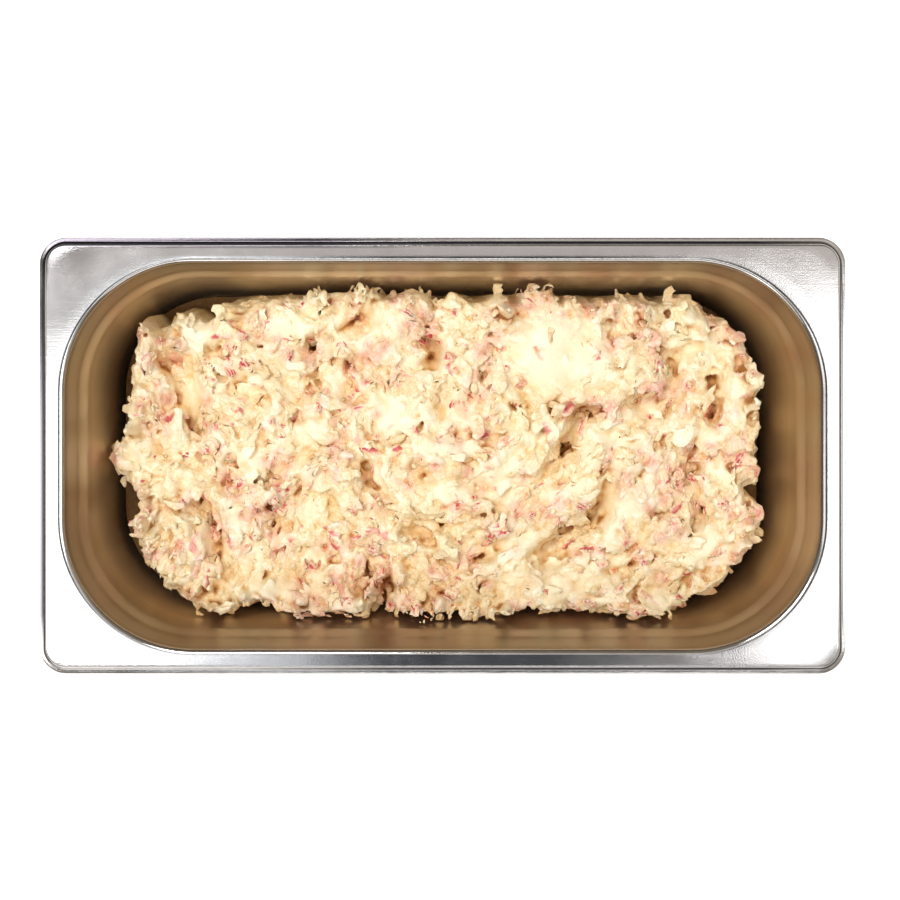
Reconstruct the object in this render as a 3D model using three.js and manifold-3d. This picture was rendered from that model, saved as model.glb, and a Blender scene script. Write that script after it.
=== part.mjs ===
// Crab surimi spread in a third-size gastronorm pan: shredded crab sticks bound in a thick creamy dressing,
// heaped by spoon into a deep-drawn stainless steel pan with a wide flat rim and a stacking shoulder.
// Millimetres, +Z up. The origin is the middle of the pan's foot, with +X along the pan's long side.
import * as THREE from "three";
import { mergeVertices } from "three/addons/utils/BufferGeometryUtils.js";
import Module from "manifold-3d";

const wasm = await Module();
wasm.setup();

// Driving dimensions of the pan, a standard 1/3 container, 100 mm deep.
const PAN_LENGTH = 325;
const PAN_WIDTH = 176;
const PAN_HEIGHT = 100;
const SHEET = 0.8;
const OUTER_CORNER_RADIUS = 11;
const OPENING_CORNER_RADIUS = 52;
const CORNER_SEGMENTS = 8;

// The rim's section, measured inward from the outer edge and down from the top.
const LIP_DROP = 1.8;
const LIP_WIDTH = 1.4;
const STEP_END = 3.8;
const STEP_CURVE = 1.3;
const RIM_WIDTH = 10.4;
const RIM_FILLET = 3.6;

// The wall's section: an upper band, the stacking shoulder, then a long tapered wall with a rounded foot.
const SHOULDER_TOP = 13;
const SHOULDER_FOOT = 21.5;
const UPPER_WALL_INSET = 1.9;
const SHOULDER_INSET = 2.3;
const SHOULDER_CURVE = 2.5;
const WALL_TAPER = THREE.MathUtils.degToRad(4);
const FOOT_RADIUS = 18;
const FOOT_SEGMENTS = 5;

// Driving dimensions of the food.
const FOOD_GAP = 0.3;
const PLATEAU = 69;
const WALL_LEVEL = 38;
const SIDE_OUT = 4.5;
const SIDE_IN = 3.5;
const STROKE_DEPTH = 1.3;
const GRID_STEP = 3.8;
const STROKE_SEGMENTS = 16;

// The largest flakes of crab stick: how many, how far out they lie, and their least and greatest sizes.
const FLAKE_COUNT = 80;
const FLAKE_SEED = 20260;
const FLAKE_SPREAD = [134, 66];
const FLAKE_JITTER = 4;
const FLAKE_LENGTH = [6, 12];
const FLAKE_WIDTH = [2.2, 4.2];
const FLAKE_THICKNESS = [1.4, 2.2];
const FLAKE_BEND = [0.8, 2.2];
const FLAKE_TAPER = 0.45;
const FLAKE_TILT = 0.5;
const FLAKE_LIFT = 0.6;
const SLOPE_REACH = 3;

// The food's upper outline, seen from above, anticlockwise from the left tip: lobes and bites of the heap.
const FOOD_OUTLINE = [
  [-142, -3], [-134, -15], [-128, -23], [-133, -35], [-126, -49], [-117, -59], [-104, -71], [-78, -67],
  [-61, -74], [-28, -70], [-25, -65], [-12, -75], [25, -70], [69, -69], [86, -72], [108, -66],
  [124, -52], [137, -37], [137, -25], [130, -16], [138, -11], [133, 0], [138, 11], [135, 34],
  [122, 57], [115, 59], [111, 65], [93, 66], [57, 65], [49, 64], [44, 70], [34, 70], [29, 65], [23, 70],
  [15, 66], [5, 69], [-2, 63], [-6, 68], [-28, 69], [-50, 69], [-78, 68], [-96, 61], [-100, 56],
  [-109, 59], [-116, 56], [-120, 49], [-126, 56], [-131, 53], [-134, 28], [-138, 11],
];

// Spoon strokes and creases, each a line through a few points. The food drops by depth at the line, within
// steep on the right of the line's direction and more slowly, within gentle, on its left.
const STROKES = [
  { through: [[-6, 26], [-3, 38], [-5, 47], [-12, 54]], depth: 6, steep: 1.8, gentle: 10 },
  { through: [[-60, 41], [-55, 45], [-56, 50]], depth: 6, steep: 2, gentle: 4 },
  { through: [[-32, 22], [-37, 28], [-38, 37], [-41, 45]], depth: 4.5, steep: 1.8, gentle: 6 },
  { through: [[-27, -18], [-31, -9], [-38, 0]], depth: 6, steep: 2, gentle: 5 },
  { through: [[-69, 19], [-74, 25], [-83, 27]], depth: 4.5, steep: 2, gentle: 4 },
  { through: [[-119, 45], [-115, 30], [-109, 13], [-105, 1]], depth: 6, steep: 2.2, gentle: 8 },
  { through: [[-101, -16], [-92, -14], [-90, -6]], depth: 3.5, steep: 1.6, gentle: 4 },
  { through: [[-97, -47], [-96, -35], [-99, -27], [-106, -18]], depth: 7, steep: 2.2, gentle: 6 },
  { through: [[-77, -20], [-71, -32], [-74, -44]], depth: 4.5, steep: 2, gentle: 5 },
  { through: [[-24, -53], [-23, -61], [-24, -74]], depth: 8, steep: 2.5, gentle: 2.5 },
  { through: [[-18, -34], [-7, -35], [4, -30]], depth: 4, steep: 2, gentle: 4 },
  { through: [[2, -35], [9, -42], [20, -42], [28, -35]], depth: 4.5, steep: 1.8, gentle: 9 },
  { through: [[71, -11], [68, -21], [57, -32], [46, -43], [36, -51]], depth: 8, steep: 2.4, gentle: 6 },
  { through: [[69, 19], [58, 13], [52, 2], [42, -10]], depth: 9, steep: 3, gentle: 5 },
  { through: [[92, 49], [97, 38], [94, 27], [85, 22], [73, 19]], depth: 6.5, steep: 2.2, gentle: 7 },
  { through: [[110, 8], [117, 18], [118, 31], [112, 43]], depth: 7, steep: 2.4, gentle: 6 },
  { through: [[96, -41], [105, -36], [112, -25], [108, -9], [109, 9]], depth: 6, steep: 2.4, gentle: 7 },
  { through: [[82, -47], [75, -52], [69, -53]], depth: 3.5, steep: 2, gentle: 3 },
  { through: [[73, 35], [79, 40]], depth: 4.5, steep: 2.6, gentle: 2.6 },
  { through: [[32, 24], [36, 18]], depth: 4, steep: 2, gentle: 3 },
  { through: [[92, -24], [91, -31]], depth: 4, steep: 2, gentle: 3 },
  { through: [[-102, 46], [-97, 38], [-91, 30], [-86, 23]], depth: 4.5, steep: 1.6, gentle: 6 },
  { through: [[-34, 61], [-39, 54], [-46, 50]], depth: 4, steep: 1.6, gentle: 6 },
  { through: [[68, 58], [71, 50], [75, 43]], depth: 4.5, steep: 2, gentle: 5 },
  { through: [[-82, -12], [-74, -13], [-61, -3], [-54, 0]], depth: 3.5, steep: 2.2, gentle: 3 },
];

// Broad swells of the heap: centre, reach along X and Y, and height.
const SWELLS = [
  { at: [50, 45], reach: [34, 22], height: 6 },
  { at: [-82, 55], reach: [26, 12], height: 4 },
  { at: [-24, 52], reach: [18, 12], height: 2 },
  { at: [-5, 5], reach: [46, 28], height: 3 },
  { at: [15, -59], reach: [40, 10], height: 2 },
  { at: [-129, 24], reach: [9, 30], height: 4 },
  { at: [-115, -40], reach: [13, 22], height: 3.5 },
  { at: [80, 34], reach: [14, 12], height: 4 },
  { at: [125, 22], reach: [10, 30], height: 3.5 },
  { at: [123, -29], reach: [13, 20], height: 3 },
  { at: [76, -8], reach: [26, 24], height: 2.5 },
];

// Lumps of the dressed shreds, coarse to fine: spacing and height.
const LUMPS = [
  { spacing: 19, height: 3.6, shift: 11 },
  { spacing: 10.5, height: 3.8, shift: 47 },
  { spacing: 6.6, height: 2.6, shift: 83 },
];

// Raggedness of the outline and of the creases: how far they wander and over what distance.
const WANDER = 5;
const WANDER_SPACING = 7.5;

function smoothStep(low, high, value) {
  const t = THREE.MathUtils.clamp((value - low) / (high - low), 0, 1);
  return t * t * (3 - 2 * t);
}

// Repeatable pseudo-random number from 0 to 1 for one point of a whole-number lattice.
function latticeValue(i, j, shift) {
  const wave = Math.sin(i * 127.1 + j * 311.7 + shift * 74.7) * 43758.5453;
  return wave - Math.floor(wave);
}

// Smooth noise from -0.5 to 0.5 with bumps about one unit apart.
function softNoise(x, y, shift) {
  const i = Math.floor(x);
  const j = Math.floor(y);
  const u = smoothStep(0, 1, x - i);
  const v = smoothStep(0, 1, y - j);
  const near = THREE.MathUtils.lerp(latticeValue(i, j, shift), latticeValue(i + 1, j, shift), u);
  const far = THREE.MathUtils.lerp(latticeValue(i, j + 1, shift), latticeValue(i + 1, j + 1, shift), u);
  return THREE.MathUtils.lerp(near, far, v) - 0.5;
}

// One ring of points round a rectangle with rounded corners, anticlockwise, at height z.
function roundedRing(halfLength, halfWidth, radius, z) {
  const ring = [];
  for (let corner = 0; corner < 4; corner += 1) {
    const signX = corner === 0 || corner === 3 ? 1 : -1;
    const signY = corner < 2 ? 1 : -1;
    for (let k = 0; k <= CORNER_SEGMENTS; k += 1) {
      const angle = (corner + k / CORNER_SEGMENTS) * (Math.PI / 2);
      ring.push(new THREE.Vector3(
        signX * (halfLength - radius) + radius * Math.cos(angle),
        signY * (halfWidth - radius) + radius * Math.sin(angle),
        z,
      ));
    }
  }
  return ring;
}

// The pan's outline at one inset from its outer edge. The lip keeps the outer corners, the wall keeps the
// opening's large ones, and the flat of the rim lies between them.
function panRing(inset, z) {
  const lipRadius = OUTER_CORNER_RADIUS - inset;
  const wallRadius = OPENING_CORNER_RADIUS + RIM_WIDTH - inset;
  const share = THREE.MathUtils.clamp((inset - STEP_END) / (RIM_WIDTH - RIM_FILLET - STEP_END), 0, 1);
  const radius = THREE.MathUtils.lerp(lipRadius, wallRadius, share);
  return roundedRing(PAN_LENGTH / 2 - inset, PAN_WIDTH / 2 - inset, radius, z);
}

// A closed skin over rings of equally many points, with a fan over the first ring and over the last.
function skinOver(rings) {
  const points = rings.flat();
  const count = rings[0].length;
  const faces = [];
  for (let r = 0; r + 1 < rings.length; r += 1) {
    for (let k = 0; k < count; k += 1) {
      const a = r * count + k;
      const b = r * count + ((k + 1) % count);
      faces.push(a, b, b + count, a, b + count, a + count);
    }
  }
  const middle = (ring) => new THREE.Vector3(0, 0, ring[0].z);
  const first = points.push(middle(rings[0])) - 1;
  const last = points.push(middle(rings.at(-1))) - 1;
  const lastRing = (rings.length - 1) * count;
  for (let k = 0; k < count; k += 1) {
    const next = (k + 1) % count;
    faces.push(first, next, k);
    faces.push(last, lastRing + k, lastRing + next);
  }
  return new THREE.BufferGeometry().setFromPoints(points).setIndex(faces);
}

// The sheet's upper side from the lip to the flat of the floor: x is the inset, y the height.
function panSection() {
  const wallTop = RIM_WIDTH - RIM_FILLET;
  const shoulderStart = RIM_WIDTH + UPPER_WALL_INSET;
  const shoulderEnd = shoulderStart + SHOULDER_INSET;
  const floor = -(PAN_HEIGHT - SHEET);
  const wallFoot = floor + FOOT_RADIUS * (1 - Math.sin(WALL_TAPER));
  const wallFootInset = shoulderEnd + (-SHOULDER_FOOT - wallFoot) * Math.tan(WALL_TAPER);
  const footX = wallFootInset + FOOT_RADIUS * Math.cos(WALL_TAPER);
  const footY = floor + FOOT_RADIUS;
  const lip = new THREE.CubicBezierCurve(
    new THREE.Vector2(LIP_WIDTH, -LIP_DROP),
    new THREE.Vector2(LIP_WIDTH + STEP_CURVE, -LIP_DROP),
    new THREE.Vector2(STEP_END - STEP_CURVE, 0),
    new THREE.Vector2(STEP_END, 0),
  );
  const shoulder = new THREE.CubicBezierCurve(
    new THREE.Vector2(shoulderStart, -SHOULDER_TOP),
    new THREE.Vector2(shoulderStart, -SHOULDER_TOP - SHOULDER_CURVE),
    new THREE.Vector2(shoulderEnd, -SHOULDER_FOOT + SHOULDER_CURVE),
    new THREE.Vector2(shoulderEnd, -SHOULDER_FOOT),
  );
  const rimTurn = new THREE.EllipseCurve(wallTop, -RIM_FILLET, RIM_FILLET, RIM_FILLET, Math.PI / 2, 0, true);
  const foot = new THREE.EllipseCurve(
    footX, footY, FOOT_RADIUS, FOOT_RADIUS, Math.PI + WALL_TAPER, Math.PI * 1.5,
  );
  return [
    new THREE.Vector2(0, -LIP_DROP),
    ...lip.getPoints(4),
    ...rimTurn.getPoints(4),
    ...shoulder.getPoints(3),
    ...foot.getPoints(FOOT_SEGMENTS),
  ];
}

// The same section moved by a distance along its normals, towards the underside when positive.
function movedSection(section, distance) {
  return section.map((point, k) => {
    const before = section[Math.max(k - 1, 0)];
    const after = section[Math.min(k + 1, section.length - 1)];
    const along = after.clone().sub(before).normalize();
    return new THREE.Vector2(point.x + along.y * distance, point.y - along.x * distance);
  });
}

function panGeometry() {
  const above = panSection();
  const below = movedSection(above, SHEET);
  below[0].x = 0;
  below.at(-1).y = -PAN_HEIGHT;
  const stations = [...below.reverse(), ...above];
  return skinOver(stations.map((point) => panRing(point.x, PAN_HEIGHT + point.y)));
}

// The space that the food may fill: the pan's inside up to the shoulder, less the gap to the sheet.
function panInsideGeometry() {
  const inside = movedSection(panSection(), -FOOD_GAP).filter((point) => point.y < FOOD_GAP - SHOULDER_FOOT);
  return skinOver(inside.reverse().map((point) => panRing(point.x, PAN_HEIGHT + point.y)));
}

function solidOf(geometry) {
  const bare = geometry.clone();
  bare.deleteAttribute("normal");
  bare.deleteAttribute("uv");
  const merged = mergeVertices(bare, 1e-4);
  return new wasm.Manifold(new wasm.Mesh({
    numProp: 3,
    vertProperties: new Float32Array(merged.attributes.position.array),
    triVerts: new Uint32Array(merged.index.array),
  }));
}

function geometryOf(solid) {
  const mesh = solid.getMesh();
  const geometry = new THREE.BufferGeometry();
  geometry.setAttribute("position", new THREE.BufferAttribute(mesh.vertProperties, 3));
  geometry.setIndex(new THREE.BufferAttribute(mesh.triVerts, 1));
  geometry.computeVertexNormals();
  return geometry;
}

// The heap's outline as a fine closed loop.
const outlineLoop = new THREE.CatmullRomCurve3(
  FOOD_OUTLINE.map(([x, y]) => new THREE.Vector3(x, y, 0)), true, "catmullrom", 0.5,
).getPoints(FOOD_OUTLINE.length * 4);

// How far a point lies inside the heap's outline, and below zero outside it.
function depthInside(x, y) {
  let nearest = Infinity;
  let inside = false;
  for (let k = 0; k + 1 < outlineLoop.length; k += 1) {
    const a = outlineLoop[k];
    const b = outlineLoop[k + 1];
    const runX = b.x - a.x;
    const runY = b.y - a.y;
    const share = THREE.MathUtils.clamp(
      ((x - a.x) * runX + (y - a.y) * runY) / (runX * runX + runY * runY), 0, 1,
    );
    nearest = Math.min(nearest, Math.hypot(x - a.x - runX * share, y - a.y - runY * share));
    if (a.y > y !== b.y > y && x < a.x + ((y - a.y) / runY) * runX) inside = !inside;
  }
  return inside ? nearest : -nearest;
}

const strokeLines = STROKES.map((stroke) => {
  const line = new THREE.SplineCurve(stroke.through.map(([x, y]) => new THREE.Vector2(x, y)));
  return { ...stroke, points: line.getPoints(STROKE_SEGMENTS) };
});

// How far one spoon stroke lowers the food at a point.
function strokeDrop(stroke, x, y) {
  let nearest = Infinity;
  let side = 0;
  let along = 0;
  const last = stroke.points.length - 1;
  for (let k = 0; k < last; k += 1) {
    const a = stroke.points[k];
    const b = stroke.points[k + 1];
    const runX = b.x - a.x;
    const runY = b.y - a.y;
    const share = THREE.MathUtils.clamp(
      ((x - a.x) * runX + (y - a.y) * runY) / (runX * runX + runY * runY), 0, 1,
    );
    const gap = Math.hypot(x - a.x - runX * share, y - a.y - runY * share);
    if (gap < nearest) {
      nearest = gap;
      side = runX * (y - a.y) - runY * (x - a.x);
      along = (k + share) / last;
    }
  }
  const reach = side > 0 ? stroke.gentle : stroke.steep;
  const fade = smoothStep(0, 0.25, along) * smoothStep(0, 0.25, 1 - along);
  return STROKE_DEPTH * stroke.depth * fade * Math.exp(-((nearest / reach) ** 2));
}

// Height of the food's surface above the foot of the pan.
function foodHeight(x, y) {
  const wanderX = x + WANDER * softNoise(x / WANDER_SPACING, y / WANDER_SPACING, 131);
  const wanderY = y + WANDER * softNoise(x / WANDER_SPACING, y / WANDER_SPACING, 197);
  const inner = depthInside(wanderX, wanderY);
  let top = PLATEAU;
  for (const { at, reach, height } of SWELLS) {
    top += height * Math.exp(-(((x - at[0]) / reach[0]) ** 2) - ((y - at[1]) / reach[1]) ** 2);
  }
  for (const { spacing, height, shift } of LUMPS) {
    top += height * softNoise(x / spacing, y / spacing, shift);
  }
  for (const stroke of strokeLines) top -= strokeDrop(stroke, wanderX, wanderY);
  return WALL_LEVEL + (top - WALL_LEVEL) * smoothStep(-SIDE_OUT, SIDE_IN, inner);
}

// A block whose top is the food's surface, wider than the pan's inside, on a grid of square cells.
function reliefBlockGeometry() {
  const columns = Math.ceil(PAN_LENGTH / GRID_STEP);
  const rows = Math.ceil(PAN_WIDTH / GRID_STEP);
  const top = new THREE.PlaneGeometry(columns * GRID_STEP, rows * GRID_STEP, columns, rows);
  const points = [];
  const places = top.attributes.position;
  for (let k = 0; k < places.count; k += 1) {
    const point = new THREE.Vector3().fromBufferAttribute(places, k);
    point.z = foodHeight(point.x, point.y);
    points.push(point);
  }
  const faces = [...top.index.array];
  const rim = [];
  for (let c = 0; c < columns; c += 1) rim.push(c);
  for (let r = 0; r < rows; r += 1) rim.push(r * (columns + 1) + columns);
  for (let c = columns; c > 0; c -= 1) rim.push(rows * (columns + 1) + c);
  for (let r = rows; r > 0; r -= 1) rim.push(r * (columns + 1));
  const skirt = points.length;
  for (const k of rim) points.push(new THREE.Vector3(points[k].x, points[k].y, -SHEET));
  const centre = points.push(new THREE.Vector3(0, 0, -SHEET)) - 1;
  for (let k = 0; k < rim.length; k += 1) {
    const next = (k + 1) % rim.length;
    faces.push(rim[k], rim[next], skirt + next, rim[k], skirt + next, skirt + k);
    faces.push(centre, skirt + k, skirt + next);
  }
  return new THREE.BufferGeometry().setFromPoints(points).setIndex(faces);
}

// A repeatable random source, from 0 to 1.
function randomSource(seed) {
  let state = seed;
  return () => {
    state = (state * 16807) % 2147483647;
    return state / 2147483647;
  };
}

// One torn flake of crab stick: a short bent strip with tapered ends, half sunk in the surface at its place.
function flakeGeometry(random) {
  const [length, width, thickness, bend] = [FLAKE_LENGTH, FLAKE_WIDTH, FLAKE_THICKNESS, FLAKE_BEND].map(
    ([least, greatest]) => THREE.MathUtils.lerp(least, greatest, random()),
  );
  const strip = new THREE.BoxGeometry(length, width, thickness, 2, 1, 1);
  const places = strip.attributes.position;
  for (let k = 0; k < places.count; k += 1) {
    const end = places.getX(k) / (length / 2);
    places.setY(k, places.getY(k) * (1 - FLAKE_TAPER * end * end));
    places.setZ(k, places.getZ(k) - bend * end * end);
  }
  return strip;
}

// Flakes spread evenly over the heap by a golden-angle spiral drawn out to its length, clear of the edge.
function flakeSolids() {
  const random = randomSource(FLAKE_SEED);
  const solids = [];
  for (let k = 0; k < FLAKE_COUNT; k += 1) {
    const radius = Math.sqrt((k + 0.5) / FLAKE_COUNT);
    const angle = k * Math.PI * (3 - Math.sqrt(5));
    const x = FLAKE_SPREAD[0] * radius * Math.cos(angle) + FLAKE_JITTER * (random() - 0.5);
    const y = FLAKE_SPREAD[1] * radius * Math.sin(angle) + FLAKE_JITTER * (random() - 0.5);
    const flake = flakeGeometry(random);
    const slopeX = (foodHeight(x + SLOPE_REACH, y) - foodHeight(x - SLOPE_REACH, y)) / (2 * SLOPE_REACH);
    const slopeY = (foodHeight(x, y + SLOPE_REACH) - foodHeight(x, y - SLOPE_REACH)) / (2 * SLOPE_REACH);
    const normal = new THREE.Vector3(-slopeX, -slopeY, 1).normalize();
    const lean = new THREE.Quaternion().setFromUnitVectors(new THREE.Vector3(0, 0, 1), normal);
    const tilt = new THREE.Quaternion().setFromEuler(
      new THREE.Euler(FLAKE_TILT * (random() - 0.5), FLAKE_TILT * (random() - 0.5), Math.PI * random()),
    );
    flake.applyQuaternion(lean.multiply(tilt));
    flake.translate(x, y, foodHeight(x, y) + FLAKE_LIFT);
    if (depthInside(x, y) > SIDE_IN) solids.push(solidOf(flake));
  }
  return solids;
}

// The outer shell alone, so that a hollow sealed under a flake is filled and a loose scrap is dropped.
function outerShell(solid) {
  const shells = solid.decompose();
  shells.sort((a, b) => b.volume() - a.volume());
  return shells[0];
}

function foodGeometry() {
  let food = solidOf(reliefBlockGeometry()).intersect(solidOf(panInsideGeometry()));
  for (const flake of flakeSolids()) food = food.add(flake);
  return geometryOf(outerShell(food));
}

function namedMesh(name, geometry, color, roughness, metalness) {
  const mesh = new THREE.Mesh(geometry, new THREE.MeshStandardMaterial({ color, roughness, metalness }));
  mesh.name = name;
  return mesh;
}

const part = new THREE.Group();
part.add(namedMesh("pan", panGeometry(), 0xc9c6c2, 0.28, 1));
part.add(namedMesh("crab_spread", foodGeometry(), 0xf2d8ae, 0.45, 0));

export default part;
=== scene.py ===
"""Crab surimi spread heaped in a third-size steel food pan.

The pan is one deep-drawn sheet with a wide flat rim, a stepped lip and a stacking shoulder. The spread is a
creamy heap of shredded crab sticks. Lengths are millimetres in this script and metres in the meshes.
"""
import math

import bmesh
import bpy
import numpy as np
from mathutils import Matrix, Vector
from mathutils.bvhtree import BVHTree


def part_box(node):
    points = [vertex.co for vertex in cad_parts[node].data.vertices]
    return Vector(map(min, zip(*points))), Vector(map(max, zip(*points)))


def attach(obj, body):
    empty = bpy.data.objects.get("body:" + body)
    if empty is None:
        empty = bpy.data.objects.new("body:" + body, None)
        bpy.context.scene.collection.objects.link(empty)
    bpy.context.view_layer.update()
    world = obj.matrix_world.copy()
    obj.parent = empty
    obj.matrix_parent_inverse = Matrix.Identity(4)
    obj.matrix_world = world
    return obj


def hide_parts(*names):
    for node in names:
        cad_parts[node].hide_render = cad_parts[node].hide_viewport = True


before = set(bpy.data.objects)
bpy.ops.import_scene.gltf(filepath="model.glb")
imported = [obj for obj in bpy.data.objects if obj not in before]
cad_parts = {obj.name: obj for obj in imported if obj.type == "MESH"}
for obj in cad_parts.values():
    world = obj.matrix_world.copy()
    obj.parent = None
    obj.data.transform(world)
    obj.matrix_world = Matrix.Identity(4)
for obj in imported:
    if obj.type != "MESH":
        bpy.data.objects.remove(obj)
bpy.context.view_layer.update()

MM = 0.001
PAN_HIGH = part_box("pan")[1]

# The pan, as in the frame.
HALF_LENGTH = PAN_HIGH[0] / MM
HALF_WIDTH = PAN_HIGH[1] / MM
PAN_HEIGHT = PAN_HIGH[2] / MM
SHEET = 0.8
OUTER_CORNER_RADIUS = 11
OPENING_CORNER_RADIUS = 52
LIP_DROP = 1.8
LIP_WIDTH = 1.4
STEP_END = 3.8
STEP_CURVE = 1.3
RIM_WIDTH = 10.4
RIM_FILLET = 2.6
SHOULDER_TOP = 13
SHOULDER_FOOT = 21.5
UPPER_WALL_INSET = 1.9
SHOULDER_INSET = 2.3
SHOULDER_CURVE = 2.5
WALL_TAPER = math.radians(4)
FOOT_RADIUS = 18

# The wall's painted reflection of the spread runs to its palest at this depth, and reaches it sooner at the
# back.
WALL_REFLECTION_DEPTH = 45
WALL_REFLECTION_LEAN = 0.2

# The painted dark reflection line along the rim's rounded edge: where it starts and ends, by inset from the
# outer edge, each with its shift at the right end and along the long sides. Then how far it fades along the
# front's left half, and how dark the painted flat beside it is along the back's left half and in the back
# left corner.
LINE_START = (0.3, 0.5, 1.4)
LINE_END = (2.1, -0.4, 1.0)
FRONT_LEFT_FADE = 0.8
BACK_LEFT_DARK = 0.95
CORNER_DARK = 0.75

# The painted dark reflection line along the opening: its reach onto the rim, what the right end adds to that,
# and its strength on the front, with what the left end adds, on the back and at the right end.
OPENING_LINE = (0.8, 1.8)
OPENING_SHARES = (0.15, 0.45, 0.9, 0.95)

# How much brighter the wall's painted reflection is at the right end.
RIGHT_PAINTED_BRIGHTNESS = 0.6

CORNER_SEGMENTS = 36
SIDE_SEGMENTS = 12

# The heap of spread, as in the frame.
FOOD_GAP = 0.3
PLATEAU = 69
WALL_LEVEL = 38
SIDE_OUT = 3
SIDE_IN = 3.5
STROKE_DEPTH = 1.3
WANDER = 5
WANDER_SPACING = 7.5
RAGGED = 1.8
RAGGED_SPACING = 2.2
STROKE_SEGMENTS = 16
FOOD_OUTLINE = [
    (-142, -3), (-134, -15), (-128, -23), (-133, -35), (-126, -49), (-117, -59), (-104, -71), (-78, -67),
    (-61, -74), (-28, -70), (-25, -65), (-12, -75), (25, -70), (69, -69), (86, -72), (108, -66),
    (124, -52), (137, -37), (137, -25), (130, -16), (138, -11), (133, 0), (138, 11), (135, 34),
    (122, 57), (115, 59), (111, 65), (93, 66), (57, 65), (49, 64), (44, 70), (34, 70), (29, 65), (23, 70),
    (15, 66), (5, 69), (-2, 63), (-6, 68), (-28, 69), (-50, 69), (-78, 68), (-96, 61), (-100, 56),
    (-109, 59), (-116, 56), (-120, 49), (-126, 56), (-131, 53), (-134, 28), (-138, 11),
]

# Spoon strokes and creases: the points each runs through, its depth, its reach on the steep and gentle side.
STROKES = [
    ([(-6, 26), (-3, 38), (-5, 47), (-12, 54)], 6, 1.8, 10),
    ([(-60, 41), (-55, 45), (-56, 50)], 6, 2, 4),
    ([(-32, 22), (-37, 28), (-38, 37), (-41, 45)], 4.5, 1.8, 6),
    ([(-27, -18), (-31, -9), (-38, 0)], 6, 2, 5),
    ([(-69, 19), (-74, 25), (-83, 27)], 4.5, 2, 4),
    ([(-119, 45), (-115, 30), (-109, 13), (-105, 1)], 6, 2.2, 8),
    ([(-101, -16), (-92, -14), (-90, -6)], 3.5, 1.6, 4),
    ([(-97, -47), (-96, -35), (-99, -27), (-106, -18)], 7, 2.2, 6),
    ([(-77, -20), (-71, -32), (-74, -44)], 4.5, 2, 5),
    ([(-24, -53), (-23, -61), (-24, -74)], 8, 2.5, 2.5),
    ([(-18, -34), (-7, -35), (4, -30)], 4, 2, 4),
    ([(2, -35), (9, -42), (20, -42), (28, -35)], 4.5, 1.8, 9),
    ([(71, -11), (68, -21), (57, -32), (46, -43), (36, -51)], 8, 2.4, 6),
    ([(69, 19), (58, 13), (52, 2), (42, -10)], 9, 3, 5),
    ([(92, 49), (97, 38), (94, 27), (85, 22), (73, 19)], 6.5, 2.2, 7),
    ([(110, 8), (117, 18), (118, 31), (112, 43)], 7, 2.4, 6),
    ([(96, -41), (105, -36), (112, -25), (108, -9), (109, 9)], 6, 2.4, 7),
    ([(82, -47), (75, -52), (69, -53)], 3.5, 2, 3),
    ([(73, 35), (79, 40)], 4.5, 2.6, 2.6),
    ([(32, 24), (36, 18)], 4, 2, 3),
    ([(92, -24), (91, -31)], 4, 2, 3),
    ([(-102, 46), (-97, 38), (-91, 30), (-86, 23)], 4.5, 1.6, 6),
    ([(-34, 61), (-39, 54), (-46, 50)], 4, 1.6, 6),
    ([(68, 58), (71, 50), (75, 43)], 4.5, 2, 5),
    ([(-82, -12), (-74, -13), (-61, -3), (-54, 0)], 3.5, 2.2, 3),
]

# Broad swells: centre, reach along X and Y, height.
SWELLS = [
    ((50, 45), (34, 22), 6),
    ((-82, 55), (26, 12), 4),
    ((-24, 52), (18, 12), 2),
    ((-5, 5), (46, 28), 3),
    ((15, -59), (40, 10), 2),
    ((-129, 24), (9, 30), 4),
    ((-115, -40), (13, 22), 3.5),
    ((80, 34), (14, 12), 4),
    ((125, 22), (10, 30), 3.5),
    ((123, -29), (13, 20), 3),
    ((76, -8), (26, 24), 2.5),
]

# Coarse to fine lumps: spacing, height, shift.
LUMPS = [
    (19, 3.6, 11),
    (10.5, 3.8, 47),
    (6.6, 2.6, 83),
]

# Shreds that make the relief: count, length, width as a share of it, thickness, lift, slope of the tilt.
SHRED_KINDS = [
    (700, (8, 18), (0.25, 0.45), (0.9, 1.6), (-1.0, 1.3), 0.38),
    (3000, (4, 11), (0.25, 0.52), (0.6, 1.2), (-1.2, 0.9), 0.45),
    (2600, (2.2, 5.5), (0.35, 0.7), (0.3, 0.7), (-1.2, 0.4), 0.45),
]
SHRED_SEED = 41
SHRED_AREA = (145, 72)

# The ground under the shreds lies this far below the heap's form. Where it is narrow the dressing fills it,
# to this depth below the shreds smoothed over this reach.
GROUND_DEPTH = 2.6
FILL_DEPTH = 1.3
FILL_REACH = 1.4

# The grain that shreds lie along: the size of its turns, how far and how strongly a spoon stroke turns it,
# and the scatter of the shreds about it.
GRAIN_SPACING = 26
GRAIN_REACH = 13
GRAIN_WANDER = 0.3
GRAIN_SPREAD = 0.45

# Fine fibres along the grain, and the slits along the strokes.
STRAND_STEPS = 9
STRAND_STRIDE = 1.4
STRAND_HEIGHT = 0.17
CREASE_DEPTH = 3.5
CREASE_WIDTH = 0.9
CREASE_OFFSET = 1.2

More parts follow.
